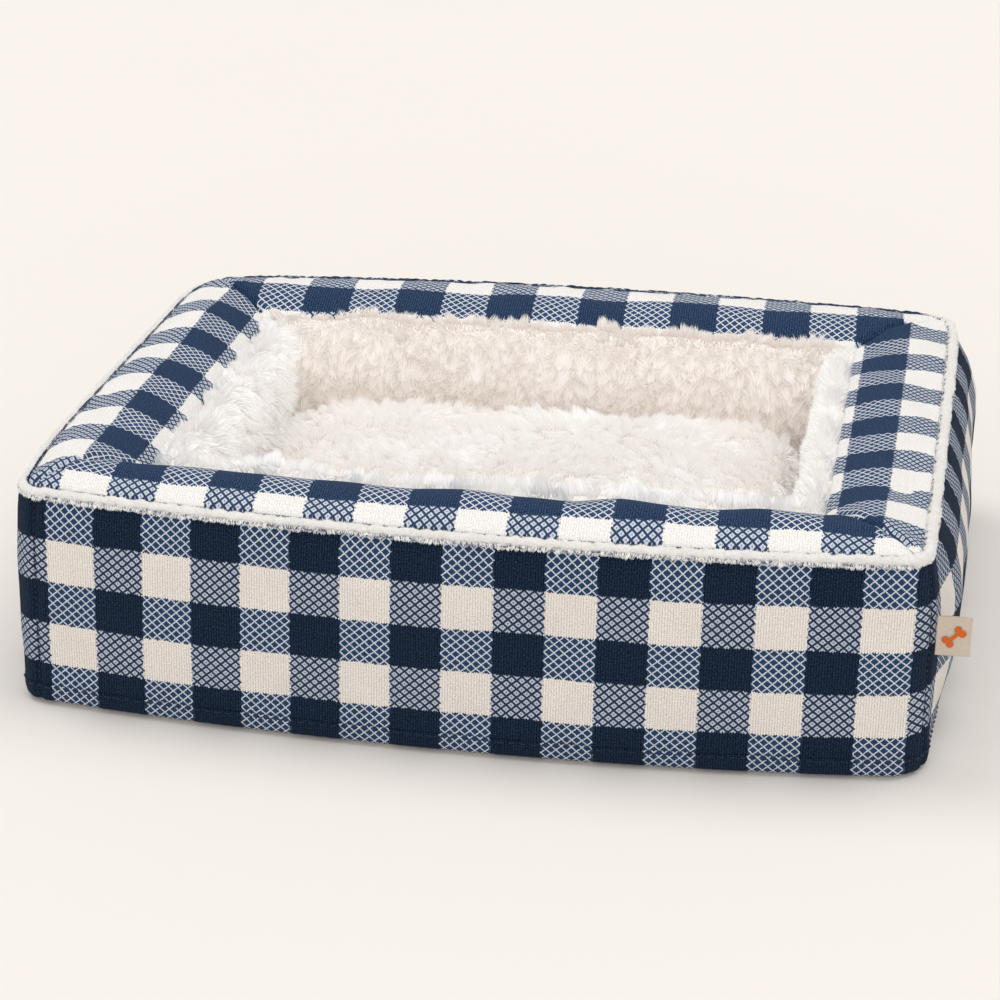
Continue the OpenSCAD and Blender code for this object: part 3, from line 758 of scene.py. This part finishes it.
def scatter(V, T, n, weight, r):
    N, area = vnormals(V, T)
    w = area * weight
    cum = np.cumsum(w)
    pick = np.searchsorted(cum, (np.arange(n) + r.random(n)) / n * cum[-1])
    pick = np.clip(pick, 0, len(T) - 1)
    a, b = r.random(n), r.random(n)
    f = a + b > 1
    a[f], b[f] = 1 - a[f], 1 - b[f]
    c = 1 - a - b
    t = T[pick]
    P = V[t[:, 0]] * c[:, None] + V[t[:, 1]] * a[:, None] + V[t[:, 2]] * b[:, None]
    M = N[t[:, 0]] * c[:, None] + N[t[:, 1]] * a[:, None] + N[t[:, 2]] * b[:, None]
    return P, M / (np.linalg.norm(M, axis=1)[:, None] + 1e-9), w.sum()


def fur(name, V, T, n, mat, seed, length=13.0, lock=8.0, clump=0.72, flow=None, lean=0.45, width=0.85,
        weight=None, body="bed", jitter=0.25, sink=1.0, seg=3, flatness=0.5, shadow=False, ao=True, tipv=None):
    r = np.random.default_rng(seed)
    weight = np.ones(len(T)) if weight is None else weight
    P, N, tot = scatter(V, T, n, weight, r)
    m = max(12, int(tot / lock ** 2))
    C, CN, _ = scatter(V, T, m, weight, r)
    kd = kdtree.KDTree(m)
    for i in range(m):
        kd.insert(C[i], i)
    kd.balance()
    near = np.array([kd.find(p)[1] for p in P])
    F = flow(C) if flow is not None else np.zeros_like(C)
    swirl = np.stack([wob(C, 46, seed + 5), wob(C, 46, seed + 6), wob(C, 46, seed + 7)], -1)
    Dl = CN + lean * F + 0.35 * swirl + 0.28 * r.normal(size=C.shape)
    Dl /= np.linalg.norm(Dl, axis=1)[:, None]
    Ll = length * (0.86 + 0.16 * wob(C, 30, seed + 8) + 0.10 * r.normal(size=m))
    Dn = Dl[near]
    d0 = N + 0.5 * (Dn - N) + jitter * r.normal(size=P.shape)
    d0 /= np.linalg.norm(d0, axis=1)[:, None]
    L = Ll[near] * r.uniform(0.72, 1.05, n)
    own = P + (0.45 * d0 + 0.55 * Dn) * L[:, None]
    lock_tip = C[near] + Dn * (L * 1.02)[:, None]
    k = (clump * r.uniform(0.75, 1.1, n))[:, None]
    tip = own * (1 - k) + lock_tip * k
    root = P - N * sink
    ctrl = root + d0 * (L * 0.55)[:, None] + 0.12 * (P - C[near])
    ts = np.linspace(0, 1, seg + 1)
    pts = [(1 - t) ** 2 * root + 2 * t * (1 - t) * ctrl + t * t * tip for t in ts]
    axis = tip - root
    axis /= np.linalg.norm(axis, axis=1)[:, None] + 1e-9
    side = np.cross(axis, N + flatness * r.normal(size=P.shape))
    side /= np.linalg.norm(side, axis=1)[:, None] + 1e-9
    w = width * r.uniform(0.75, 1.2, n)[:, None]
    prof_w = np.interp(ts, [0, 0.35, 0.7, 1], [0.9, 1.0, 0.62, 0.0])
    nv = 2 * seg + 1
    Vv = np.zeros((n, nv, 3))
    UV = np.zeros((n, nv, 2))
    uu = (r.random(m)[near] * 0.97 + r.random(n) * 0.012)            # one tone for each lock
    # tipv cuts the root-to-tip colour ramp short, which callers use for painted shade low in the pile
    vt = np.ones(n) if tipv is None else tipv(P)
    for i in range(seg):
        Vv[:, 2 * i] = pts[i] - side * w * prof_w[i] / 2
        Vv[:, 2 * i + 1] = pts[i] + side * w * prof_w[i] / 2
        UV[:, 2 * i, 0], UV[:, 2 * i + 1, 0] = uu, uu + 0.008
        UV[:, 2 * i, 1] = UV[:, 2 * i + 1, 1] = 0.01 + 0.98 * ts[i] * vt
    Vv[:, -1] = pts[-1]
    UV[:, -1, 0], UV[:, -1, 1] = uu + 0.004, 0.01 + 0.98 * vt
    pat, sz = [], []
    for i in range(seg - 1):
        pat += [2 * i, 2 * i + 1, 2 * i + 3, 2 * i + 2]
        sz.append(4)
    pat += [2 * seg - 2, 2 * seg - 1, 2 * seg]
    sz.append(3)
    loops = (np.array(pat)[None, :] + np.arange(n)[:, None] * nv).ravel()
    ob = mesh_of(name, Vv.reshape(-1, 3), loops, np.tile(sz, n), {"OFBake": UV.reshape(-1, 2)}, mat)
    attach(ob, body)
    ob.visible_shadow = shadow
    ob.visible_diffuse = shadow or ao          # fine white pile passes light; it shades itself only softly
    pieces[name] = ob
    return ob


# ---------------------------------------------------------------- plush walls
WALL_D = np.array([66.5, 69.5, 73.5, 78.0, 82.0, 84.6, 85.6, 86.0, 86.0, 85.8, 85.4, 85.0, 85.0, 84.6])
WALL_Z = np.array([129.0, 136.5, 140.5, 141.0, 138.0, 132.0, 122.0, 110.0, 97.0, 84.0, 70.0, 56.0, 46.0, 40.5])
CREASE = {"left": [66.0, -21.0, -100.0], "right": [], "back": [-150.0, -40.0, 75.0], "front": [-100.0, 60.0]}
WALLS = {}


def wall(side):
    n_t = 120 if side in ("front", "back") else 90
    t = np.linspace(0, 1, n_t)
    k = np.linspace(0, len(WALL_D) - 1, 44)
    dd, zz = np.interp(k, np.arange(len(WALL_D)), WALL_D), np.interp(k, np.arange(len(WALL_Z)), WALL_Z)
    ker = np.hanning(7); ker /= ker.sum()
    dd = np.convolve(np.pad(dd, 3, mode="edge"), ker, mode="valid")
    zz = np.convolve(np.pad(zz, 3, mode="edge"), ker, mode="valid")
    T, D = np.meshgrid(t, dd, indexing="ij")
    Z = np.broadcast_to(zz, T.shape).copy()
    P0 = ring_point(side, T, D, Z, 1.0)
    along = P0[..., 0] if side in ("front", "back") else P0[..., 1]
    amp = {"left": 7.5, "right": 1.0, "back": 2.2, "front": 2.2}[side]
    lobe = np.ones_like(along)
    for c in CREASE[side]:
        lobe = lobe - np.exp(-((along - c) / 12.0) ** 2)
    half = (A0 if side in ("front", "back") else B0) - D
    ends = smooth((half - abs(along)) / 30)
    low = smooth((Z - 40) / 30)
    dep = amp * (lobe - 0.45) * low * ends + (1.2 * wob(P0, 60, 51) + 0.6 * wob(P0, 24, 52)) * low * ends
    off = {"left": 4.0, "right": 0.0, "back": 1.5, "front": 1.5}[side] * smooth((100 - abs(D - 66)) / 10) * smooth((Z - 60) / 60)
    P = ring_point(side, T, D + off + dep * smooth((D - 66) / 14), Z - (3.0 if side == "left" else 0.0) * smooth((Z - 90) / 40), 1.0)
    P[..., 2] += 1.5 * wob(P0[..., :2], 70, 53) * smooth((Z - 100) / 30)
    W = warp(P)
    flip = False
    ob = grid("plush_" + side + "_backing", W, None, FURBASE)
    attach(ob, "bed")
    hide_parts("plush_wall_" + side)
    pieces["plush_" + side] = ob
    V, Tt = tris_of(W)
    N, _ = vnormals(V, Tt)
    # outwards is up over the top and into the well below
    mid = V[np.argmax(V[:, 2])]
    if N[np.argmax(V[:, 2])][2] < 0:
        Tt = Tt[:, ::-1]
    WALLS[side] = (V, Tt)


FURBASE = PLUSH_BASE
for side in ("front", "back", "left", "right"):
    wall(side)


def wall_flow(side):
    inward = {"front": (0, 1, 0), "back": (0, -1, 0), "left": (1, 0, 0), "right": (-1, 0, 0)}[side]
    inward = np.array(inward, float)

    def f(C):
        down = smooth((138 - C[:, 2]) / 14)[:, None]
        return down * np.array([0, 0, -0.55]) + (1 - down) * inward * 0.7
    return f


for side in ("front", "back", "left", "right"):
    V, Tt = WALLS[side]
    zc = V[Tt].mean(1)[:, 2]
    wgt = np.where(zc > 78, 1.0, 0.42)
    n = 39000 if side in ("front", "back") else 33000
    light = side == "right"
    fur("plush_" + side + "_pile", V, Tt, n, {"right": FUR_LIT_RIGHT, "left": FUR_TOP, "front": FUR_TOP}.get(side, FUR), 100 + len(side) * 7 + ord(side[0]),
        length=7.5 if light else 12.5, lock=4.2 if light else 7.0, clump=0.35 if light else 0.6,
        flow=wall_flow(side), lean=0.9, width=0.5 if light else 0.66, weight=wgt, ao=False,
        # strands lower down the walls stay darker: painted shade at the foot of the walls
        tipv=lambda P: 0.56 + 0.44 * smooth((P[:, 2] - 74) / 44))

# ---------------------------------------------------------------- cushion
CX, CY, CR = 186.0, 134.0, 34.0


def cushion_shape():
    n_a = 180
    rows = []
    # plan: rounded rectangle; the rings run from the middle of the underside, round the edge, to the middle of the top
    ring = [(0.02, 40.6, 0), (0.3, 40.6, 0), (0.6, 40.6, 0), (0.85, 40.6, 0), (0.95, 40.8, 0), (0.985, 43.0, 0), (1.0, 49.0, 0),
            (1.0, 56.0, 0), (0.99, 63.0, 0), (0.965, 70.0, 0), (0.92, 76.0, 0)]
    for k in np.linspace(0.86, 0.02, 22):
        ring.append((k, 79.0 + 16.0 * (1 - (k / 0.9) ** 2.2), 1))
    t = np.linspace(0, 1, n_a, endpoint=False)
    out = []
    for k, z, top in ring:
        A, B = CX * k, CY * k
        r = min(CR, A * 0.95, B * 0.95) if k > 0.3 else min(A, B) * 0.9
        per = 4 * (A - r) + 4 * (B - r) + 2 * math.pi * r
        s = t * per
        pts = []
        q = math.pi * r / 2
        segs = [(2 * (A - r), "x", -1), (q, "c", -90), (2 * (B - r), "y", 1), (q, "c", 0), (2 * (A - r), "x", 1), (q, "c", 90), (2 * (B - r), "y", -1), (q, "c", 180)]
        X, Y = np.zeros(n_a), np.zeros(n_a)
        s0 = 0
        cen = {-90: (A - r, -(B - r)), 0: (A - r, B - r), 90: (-(A - r), B - r), 180: (-(A - r), -(B - r))}
        for ln, kind, v in segs:
            m = (s >= s0) & (s < s0 + ln + 1e-9)
            u = s[m] - s0
            if kind == "x":
                X[m], Y[m] = (-(A - r) + u, -B) if v == -1 else ((A - r) - u, B)
            elif kind == "y":
                X[m], Y[m] = (A, -(B - r) + u) if v == 1 else (-A, (B - r) - u)
            else:
                a = math.radians(v) + u / r
                X[m], Y[m] = cen[v][0] + r * np.cos(a), cen[v][1] + r * np.sin(a)
            s0 += ln
        out.append(np.stack([X, Y, np.full(n_a, z)], -1))
    return np.array(out)


G = cushion_shape()
nr, na = G.shape[:2]
qf = grid_faces(nr, na, wrap_v=True)
caps = [list(range(na))[::-1], [(nr - 1) * na + i for i in range(na)]]
V0 = G.reshape(-1, 3).copy()
flat = np.concatenate([qf.ravel(), np.array(caps[0]), np.array(caps[1])])
sizes = np.concatenate([np.full(len(qf), 4), [na, na]])
cush = mesh_of("cushion_cover", V0, flat, sizes, None, None)
# even the mesh out, then let a little air pressure pull the cloth tight over the filling
import bmesh
bm = bmesh.new()
bm.from_mesh(cush.data)
bmesh.ops.triangulate(bm, faces=[f for f in bm.faces if len(f.verts) > 4])
bmesh.ops.recalc_face_normals(bm, faces=bm.faces)
bm.to_mesh(cush.data)
bm.free()
mod = cush.modifiers.new("even", "REMESH")
mod.mode = "VOXEL"
mod.voxel_size = 0.0055
bpy.context.view_layer.objects.active = cush
dg = bpy.context.evaluated_depsgraph_get()
me = bpy.data.meshes.new_from_object(cush.evaluated_get(dg))
cush.modifiers.clear()
cush.data = me
rest = np.array([v.co for v in cush.data.vertices])


def lumps(co):
    """The filling's lumps and the lie of the cushion: lower on the left, a little fuller at the right."""
    mm = co * 1000
    top = smooth((mm[:, 2] - 50) / 30)
    edge = smooth((1 - np.maximum(abs(mm[:, 0]) / CX, abs(mm[:, 1]) / CY)) / 0.25)
    out = co.copy()
    out[:, 2] += top * (2.6 * wob(mm[:, :2], 120, 61) + 1.4 * wob(mm[:, :2], 55, 62)) * 0.001 * (0.35 + 0.65 * edge)
    out[:, 2] += top * (mm[:, 0] / CX) * 0.0035
    return out


g = cush.vertex_groups.new(name="hold")
hold = [i for i, c in enumerate(rest) if c[2] < 0.0415]
g.add(hold, 1.0, "REPLACE")
cm = cush.modifiers.new("cloth", "CLOTH")
cs = cm.settings
cs.quality = 5
cs.mass = 0.25
cs.tension_stiffness = 18
cs.compression_stiffness = 18
cs.shear_stiffness = 6
cs.bending_stiffness = 0.6
cs.use_pressure = True
cs.uniform_pressure_force = 4.0
cs.vertex_group_mass = "hold"
cs.shrink_min = -0.05
cs.effector_weights.gravity = 0.0
cm.collision_settings.use_collision = False
cm.point_cache.frame_start = 1
cm.point_cache.frame_end = 20
scene.frame_start, scene.frame_end = 1, 20
for f in range(1, 21):
    scene.frame_set(f)
    dg = bpy.context.evaluated_depsgraph_get()
    ev = cush.evaluated_get(dg)
    if f == 20:
        cloth = np.array([v.co for v in ev.data.vertices])
cush.modifiers.clear()
cush.vertex_groups.clear()
scene.frame_set(1)
move = cloth - rest
ln = np.linalg.norm(move, axis=1)
cap = 0.006
move *= (np.minimum(ln, cap) / (ln + 1e-9))[:, None]
new = rest + move
new[:, 0] = np.clip(new[:, 0], -0.1885, 0.1885)
new[:, 1] = np.clip(new[:, 1], -0.1365, 0.1365)
new = lumps(new)
new[:, 2] = np.maximum(new[:, 2], 0.0403)
cush.data.vertices.foreach_set("co", new.astype(np.float32).ravel())
cush.data.update()
sub = cush.modifiers.new("fine", "SUBSURF")
sub.levels = sub.render_levels = 1
dg = bpy.context.evaluated_depsgraph_get()
me = bpy.data.meshes.new_from_object(cush.evaluated_get(dg))
cush.modifiers.clear()
cush.data = me
cush.data.polygons.foreach_set("use_smooth", np.full(len(cush.data.polygons), True))


def to_arrays(me):
    V = np.array([v.co for v in me.vertices]) * 1000
    me.calc_loop_triangles()
    T = np.array([t.vertices[:] for t in me.loop_triangles])
    return V, T


VC, TC = to_arrays(cush.data)
# one half is the plush top with its sides, the other the plain cloth underneath
V, T = VC, TC
zt = V[T].mean(1)[:, 2]
N, _ = vnormals(V, T)
top_t = zt > 41.6


def part(name, V, T, mat, bodyname, node):
    used, inv = np.unique(T.ravel(), return_inverse=True)
    Vn = V[used]
    lo, hi = Vn.min(0), Vn.max(0)
    uv = (Vn[:, :2] - lo[:2]) / (hi[:2] - lo[:2]) * 0.98 + 0.01
    ob = mesh_of(name, Vn, inv, np.full(len(T), 3), {"OFBake": uv}, mat)
    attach(ob, bodyname)
    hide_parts(*node)
    pieces[name] = ob
    return ob


part("cushion_plush_top", V, T[top_t], PLUSH_BASE, "cushion", ["cushion_plush"])
part("cushion_base_cloth", V, T[~top_t], LINING, "cushion", ["cushion_base"])
bpy.data.objects.remove(cush)


def cush_flow(C):
    a = 0.9 * wob(C[:, :2], 170, 71) + math.pi * 1.42
    return np.stack([np.cos(a), np.sin(a), 0 * a], -1)


zc = V[T].mean(1)[:, 2]
xc = V[T].mean(1)[:, 0]
pieces_x = [(-200, -64), (-64, 62), (62, 200)]
for i, (x0, x1) in enumerate(pieces_x):
    m = top_t & (xc >= x0) & (xc < x1)
    wgt = np.where(zc[m] > 68, 1.0, 0.3)
    fur("cushion_pile_" + "abc"[i], V, T[m], 39500, FUR_TOP, 200 + i, length=12.5, lock=7.5, clump=0.6, flow=cush_flow,
        lean=0.9, width=0.66, weight=wgt, body="cushion", ao=False,
        # darker towards the cushion's lower edge, painted shade where it meets the walls, and in patches, painted
        # shade of the lumps
        tipv=lambda P: np.clip(0.62 + 0.34 * smooth((P[:, 2] - 62) / 24) + 0.26 * wob(P[:, :2], 22, 77), 0.33, 1.0))

# filling: the same shape drawn in
nf = grid_faces(nr, na, wrap_v=True)
Vf = G.reshape(-1, 3).copy()
Vf = (Vf - [0, 0, 66]) * [0.93, 0.91, 0.72] + [0, 0, 64]
fl = np.concatenate([nf.ravel(), np.array(caps[0]), np.array(caps[1])])
lo, hi = Vf.min(0), Vf.max(0)
ob = mesh_of("cushion_filling_core", Vf, fl, sizes, {"OFBake": (Vf[:, :2] - lo[:2]) / (hi[:2] - lo[:2])}, WADDING)
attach(ob, "cushion")
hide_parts("cushion_filling")


# ---------------------------------------------------------------- hidden layers, shaped like the cover round them
def shell(name, side, path, mat, node, n_t=60):
    """A closed bar along one side: path is a loop of (depth, height)."""
    t = np.linspace(0, 1, n_t)
    path = np.array(path, float)
    T, K = np.meshgrid(t, np.arange(len(path)), indexing="ij")
    D, Z = path[:, 0][K], path[:, 1][K]
    eps = 0.0008
    P = warp(ring_point(side, eps + T * (1 - 2 * eps), D, Z, 1.5))
    if side == "back":                          # drawn in behind the zip, like the panel
        P[..., 1] = np.where(Z <= 71, np.minimum(P[..., 1], 230.6), P[..., 1])
    nv = len(path)
    q = grid_faces(n_t, nv, wrap_v=True)
    end0, end1 = list(range(nv)), [(n_t - 1) * nv + i for i in range(nv)][::-1]
    flat = np.concatenate([q.ravel(), end0, end1])
    sz = np.concatenate([np.full(len(q), 4), [nv, nv]])
    uu, vv = np.meshgrid(np.linspace(0.01, 0.99, n_t), np.linspace(0.01, 0.99, nv), indexing="ij")
    ob = mesh_of(name, P.reshape(-1, 3), flat, sz, {"OFBake": np.stack([uu, vv], -1).reshape(-1, 2)}, mat, smoothed=False)
    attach(ob, "bed")
    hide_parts(node)
    return ob


for side in ("front", "back", "left", "right"):
    shell("wall_foam_" + side + "_block", side, [(2, 18), (2, 70), (2, 122), (10, 126), (60, 126), (64, 120), (64, 70), (64, 3), (8, 3), (3, 8)],
          FOAM, "wall_foam_" + side)
    up = [(d, float(rim_z((d - D0) / (D1 - D0), "back")) - 2.6) for d in np.linspace(9, 62, 12)]
    dn = [(d, 127.5) for d in np.linspace(60, 12, 6)]
    shell("rim_wadding_" + side + "_pad", side, up + dn, WADDING, "rim_wadding_" + side)


def slab(name, A, B, z0, z1, mat, node, inset_r=30.0, shaped=False):
    t = np.linspace(0, 1, 60)
    ring_pts = np.concatenate([np.stack(side_curve(sd, A, B, inset_r, t[:-1]), -1) for sd in ("front", "right", "back", "left")])
    ks = np.linspace(1.0, 0.02, 16)
    rowsv = []
    for z in (z0, z1):
        for k in (ks[::-1] if z == z0 else ks):
            rowsv.append(np.concatenate([ring_pts * k, np.full((len(ring_pts), 1), z)], 1))
    P = np.array(rowsv)
    if shaped:
        P = warp(P)
    nr2, nv2 = P.shape[:2]
    q = grid_faces(nr2, nv2, wrap_v=True)
    fl = np.concatenate([q.ravel(), list(range(nv2))[::-1], [(nr2 - 1) * nv2 + i for i in range(nv2)]])
    sz = np.concatenate([np.full(len(q), 4), [nv2, nv2]])
    Vv = P.reshape(-1, 3)
    lo, hi = Vv.min(0), Vv.max(0)
    uv = (Vv[:, :2] - lo[:2]) / (hi[:2] - lo[:2]) * 0.98 + 0.01
    ob = mesh_of(name, Vv, fl, sz, {"OFBake": uv}, mat, smoothed=False)
    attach(ob, "bed")
    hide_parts(node)
    return ob


slab("base_foam_slab", 217, 150, 3.0, 36.8, FOAM, "base_foam", inset_r=12, shaped=True)
slab("deck_cloth", 215, 148, 37.4, 38.4, LINING, "deck_fabric", inset_r=12, shaped=True)
slab("underside_cloth", 284, 217, 0.85, 2.0, NONSLIP, "underside_fabric", inset_r=18, shaped=True)

# ---------------------------------------------------------------- label
lx, ly, lz0, lz1 = 283.376, -220.376, 82.0, 108.0


def label():
    # path in plan of the folded tape: out along one ply, round the fold, back along the other
    g = 0.62
    L = 21.0
    path, n = [], 26
    for u in np.linspace(0, 1, n):
        path.append((L * u * 0.965, -0.28 - g * math.sin(math.pi * min(1, u * 0.9 + 0.12)) * 0.9))
    for a in np.linspace(-90, 90, 9)[1:-1]:
        a = math.radians(a)
        path.append((L * 0.965 + 0.85 * math.cos(a), 0.42 * math.sin(a)))
    for u in np.linspace(1, 0, n):
        path.append((L * u * 0.965, 0.28 + g * math.sin(math.pi * min(1, u * 0.9 + 0.12)) * 0.75))
    path = np.array(path)
    z = np.linspace(lz0, lz1, 40)
    K, Z = np.meshgrid(np.arange(len(path)), z, indexing="ij")
    X, Y = path[:, 0][K], path[:, 1][K]
    v = (Z - lz0) / (lz1 - lz0)
    X = X * 1.0 - 0.25 * np.sin(v * 3.1) * (X / L)
    Y = Y + 0.25 * np.sin(v * 5 + 0.6) * (X / L)
    Zw = Z + 0.3 * np.sin(X * 0.16) * (X / L)
    P = np.stack([lx + X, ly + Y, Zw], -1)
    cloth = np.stack([K * 0.04, v], -1)
    ob = grid("label_tab_cloth", P, cloth, LABEL)
    so = ob.modifiers.new("t", "SOLIDIFY")
    so.thickness = 0.00035
    so.offset = -1
    bpy.context.view_layer.update()
    dg = bpy.context.evaluated_depsgraph_get()
    me = bpy.data.meshes.new_from_object(ob.evaluated_get(dg))
    ob.modifiers.clear()
    ob.data = me
    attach(ob, "label")
    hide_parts("label_tab")
    return ob


label()


def bone(scale=1.0, n=14):
    """Outline of a plain bone, along X."""
    pts = []
    c = [(4.0, -1.55), (4.0, 1.55), (-4.0, 1.55), (-4.0, -1.55)]
    r = 1.8
    spans = [(159, 419), (-59, 201), (-21, 239), (121, 381)]
    for (cx, cy), (a0, a1) in zip(c, spans):
        for a in np.linspace(math.radians(a0), math.radians(a1), n):
            pts.append((cx + r * math.cos(a), cy + r * math.sin(a)))
    return np.array(pts) * scale


def symbol(name, scale, lift, mat, node, depth=0.35):
    o = bone(scale)
    a = math.radians(45)
    R = np.array([[math.cos(a), -math.sin(a)], [math.sin(a), math.cos(a)]])
    o = o @ R.T
    cx, cz = 10.6, 95.0
    n = len(o)
    rings = [(1.0, 0.0), (1.0, -depth * 0.7), (0.965, -depth)]
    V = []
    for k, dy in rings:
        for px, pz in o * k:
            X = cx + px
            face_y = -0.28 - 0.62 * math.sin(math.pi * min(1, X / 21 * 0.9 / 0.965 + 0.12)) * 0.9
            face_y += 0.25 * math.sin(((cz + pz - lz0) / 26) * 5 + 0.6) * (X / 21)
            V.append((lx + X, ly + face_y - lift + dy, cz + pz))
    V = np.array(V)
    q = grid_faces(len(rings), n, wrap_v=True, flip=True)
    fl = np.concatenate([q.ravel(), list(range(n))[::-1][::-1], [(len(rings) - 1) * n + i for i in range(n)][::-1]])
    sz = np.concatenate([np.full(len(q), 4), [n, n]])
    lo, hi = V.min(0), V.max(0)
    uv = (V[:, [0, 2]] - lo[[0, 2]]) / (hi[[0, 2]] - lo[[0, 2]]) * 0.98 + 0.01
    ob = mesh_of(name, V, fl, sz, {"OFBake": uv}, mat, smoothed=False)
    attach(ob, "label")
    if node:
        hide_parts(node)
    return ob


symbol("label_bone", 1.28, 0.42, PRINT, "label_symbol")

# ---------------------------------------------------------------- carried-over parts
for node, mat in [("zip_tape_upper", TAPE), ("zip_tape_lower", TAPE), ("zip_teeth_upper", COIL), ("zip_teeth_lower", COIL),
                  ("zip_stops", METAL), ("zip_slider", METAL), ("zip_pull", METAL), ("grip_dots", DOTS)]:
    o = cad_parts[node]
    o.data.materials.clear()
    o.data.materials.append(mat)

# ---------------------------------------------------------------- piping fuzz and the fringe of its seam
V, T = tris_of(PIPE[:, ::-1])
Vn, _ = vnormals(V, T)
cen = np.repeat(LINE, PIPE.shape[1], 0)
if np.mean(np.einsum("ij,ij->i", Vn, V - cen)) < 0:
    T = T[:, ::-1]
fur("piping_nap", V, T, 39000, FIBRE, 301, length=1.3, lock=1.8, clump=0.3, lean=0.0, width=0.36,
    jitter=0.5, sink=0.3, seg=2)



def strip(e0, z0, e1, z1):
    """A narrow band beside the piping, from one offset and height to another."""
    sp = np.linspace(0, LEN, 1400)
    bx_, by_, ex_, ey_ = base(sp)
    rows = [warp(np.stack([bx_ + ex_ * e, by_ + ey_ * e, z + 0 * bx_], -1)) for e, z in ((e0, z0), ((e0 + e1) / 2, (z0 + z1) / 2), (e1, z1))]
    P = np.stack(rows, 1)
    Vs, Ts = tris_of(P)
    Nn, _ = vnormals(Vs, Ts)
    if np.mean(np.einsum("ij,ij->i", Nn[:, :2], Vs[:, :2])) < 0:
        Ts = Ts[:, ::-1]
    c = Vs[Ts].mean(1)
    return Vs, Ts, np.where((c[:, 1] < -150) | (c[:, 0] > 240), 1.0, 0.25)


def droop(C):
    return np.tile([0.0, 0.0, -1.0], (len(C), 1))


Vs, Ts, wt = strip(3.4, H - 0.6, 2.6, H - 3.4)
fur("piping_fringe_white", Vs, Ts, 15000, FIBRE, 311, length=2.6, lock=2.6, clump=0.5, flow=droop, lean=0.9, width=0.5,
    weight=wt, jitter=0.5, sink=0.4, seg=2)
Vs, Ts, wt = strip(3.1, H - 1.1, 2.3, H - 3.0)
fur("piping_fringe_navy", Vs, Ts, 9000, FIBRE_NAVY, 312, length=1.9, lock=3.6, clump=0.9, flow=droop, lean=0.15, width=0.6,
    weight=wt, jitter=0.5, sink=0.2, seg=2, shadow=True)
Vs, Ts, wt = strip(-2.0, H + 2.6, -2.9, H + 1.9)
fur("piping_fringe_rim", Vs, Ts, 6500, FIBRE_NAVY, 313, length=1.7, lock=3.8, clump=0.9, lean=0.1, width=0.55,
    weight=wt, jitter=0.5, sink=0.2, seg=2, shadow=True)

# ---------------------------------------------------------------- stage, light, camera
fl = bpy.data.meshes.new("floor")
fl.from_pydata([(-12, -12, 0), (12, -12, 0), (12, 12, 0), (-12, 12, 0)], [], [(0, 1, 2, 3)])
floor = bpy.data.objects.new("floor", fl)
scene.collection.objects.link(floor)
fm = Mat("floor", 0.95, 0.0, spec=0.05)
nfac = fm.noise(fm.pos(), 0.6, 2)
fm.color(fm.mix(fm.ramp01(nfac, 0.3, 0.7), (0.846, 0.812, 0.777, 1), (0.856, 0.822, 0.787, 1)))
fl.materials.append(fm.m)

w = bpy.data.worlds.new("room")
scene.world = w
w.use_nodes = True
bg = w.node_tree.nodes.get("Background") or w.node_tree.nodes.new("ShaderNodeBackground")
bg.inputs["Color"].default_value = (1.0, 0.978, 0.955, 1)
bg.inputs["Strength"].default_value = 0.53


def sun(name, direction, strength, angle, colour=(1, 1, 1)):
    d = bpy.data.lights.new(name, "SUN")
    d.energy, d.angle, d.color = strength, math.radians(angle), colour
    o = bpy.data.objects.new(name, d)
    scene.collection.objects.link(o)
    o.rotation_mode = "QUATERNION"
    o.rotation_quaternion = Vector(direction).to_track_quat("Z", "Y")
    return o


sun("key", (-0.46, 0.20, 0.86), 0.70, 30, (1.0, 0.995, 0.985))
sun("top", (0.32, 0.10, 1.0), 1.00, 50, (1.0, 0.985, 0.96))
sun("fill", (0.02, -0.92, 0.30), 1.02, 60, (1.0, 0.99, 0.98))

cam = bpy.data.cameras.new("camera")
cam.sensor_width, cam.sensor_height, cam.lens = 36, 36, 103.35
cam.sensor_fit = "HORIZONTAL"
cam.clip_start, cam.clip_end = 0.05, 60
co = bpy.data.objects.new("camera", cam)
scene.collection.objects.link(co)
r_, u_, f_ = ((0.9901780524, 0.1390026824, 0.0150226102), (-0.0683170954, 0.3872869967, 0.9194245791),
              (-0.1219844212, 0.9114203402, -0.3929793436))
M = Matrix.Identity(4)
for i in range(3):
    M[i][0], M[i][1], M[i][2] = r_[i], u_[i], -f_[i]
M[0][3], M[1][3], M[2][3] = 0.228433, -1.805157, 0.847079
co.matrix_world = M
scene.camera = co
scene.view_settings.view_transform = "Standard"
scene.view_settings.look = "None"
scene.view_settings.exposure = 0.0
scene.view_settings.gamma = 1.0
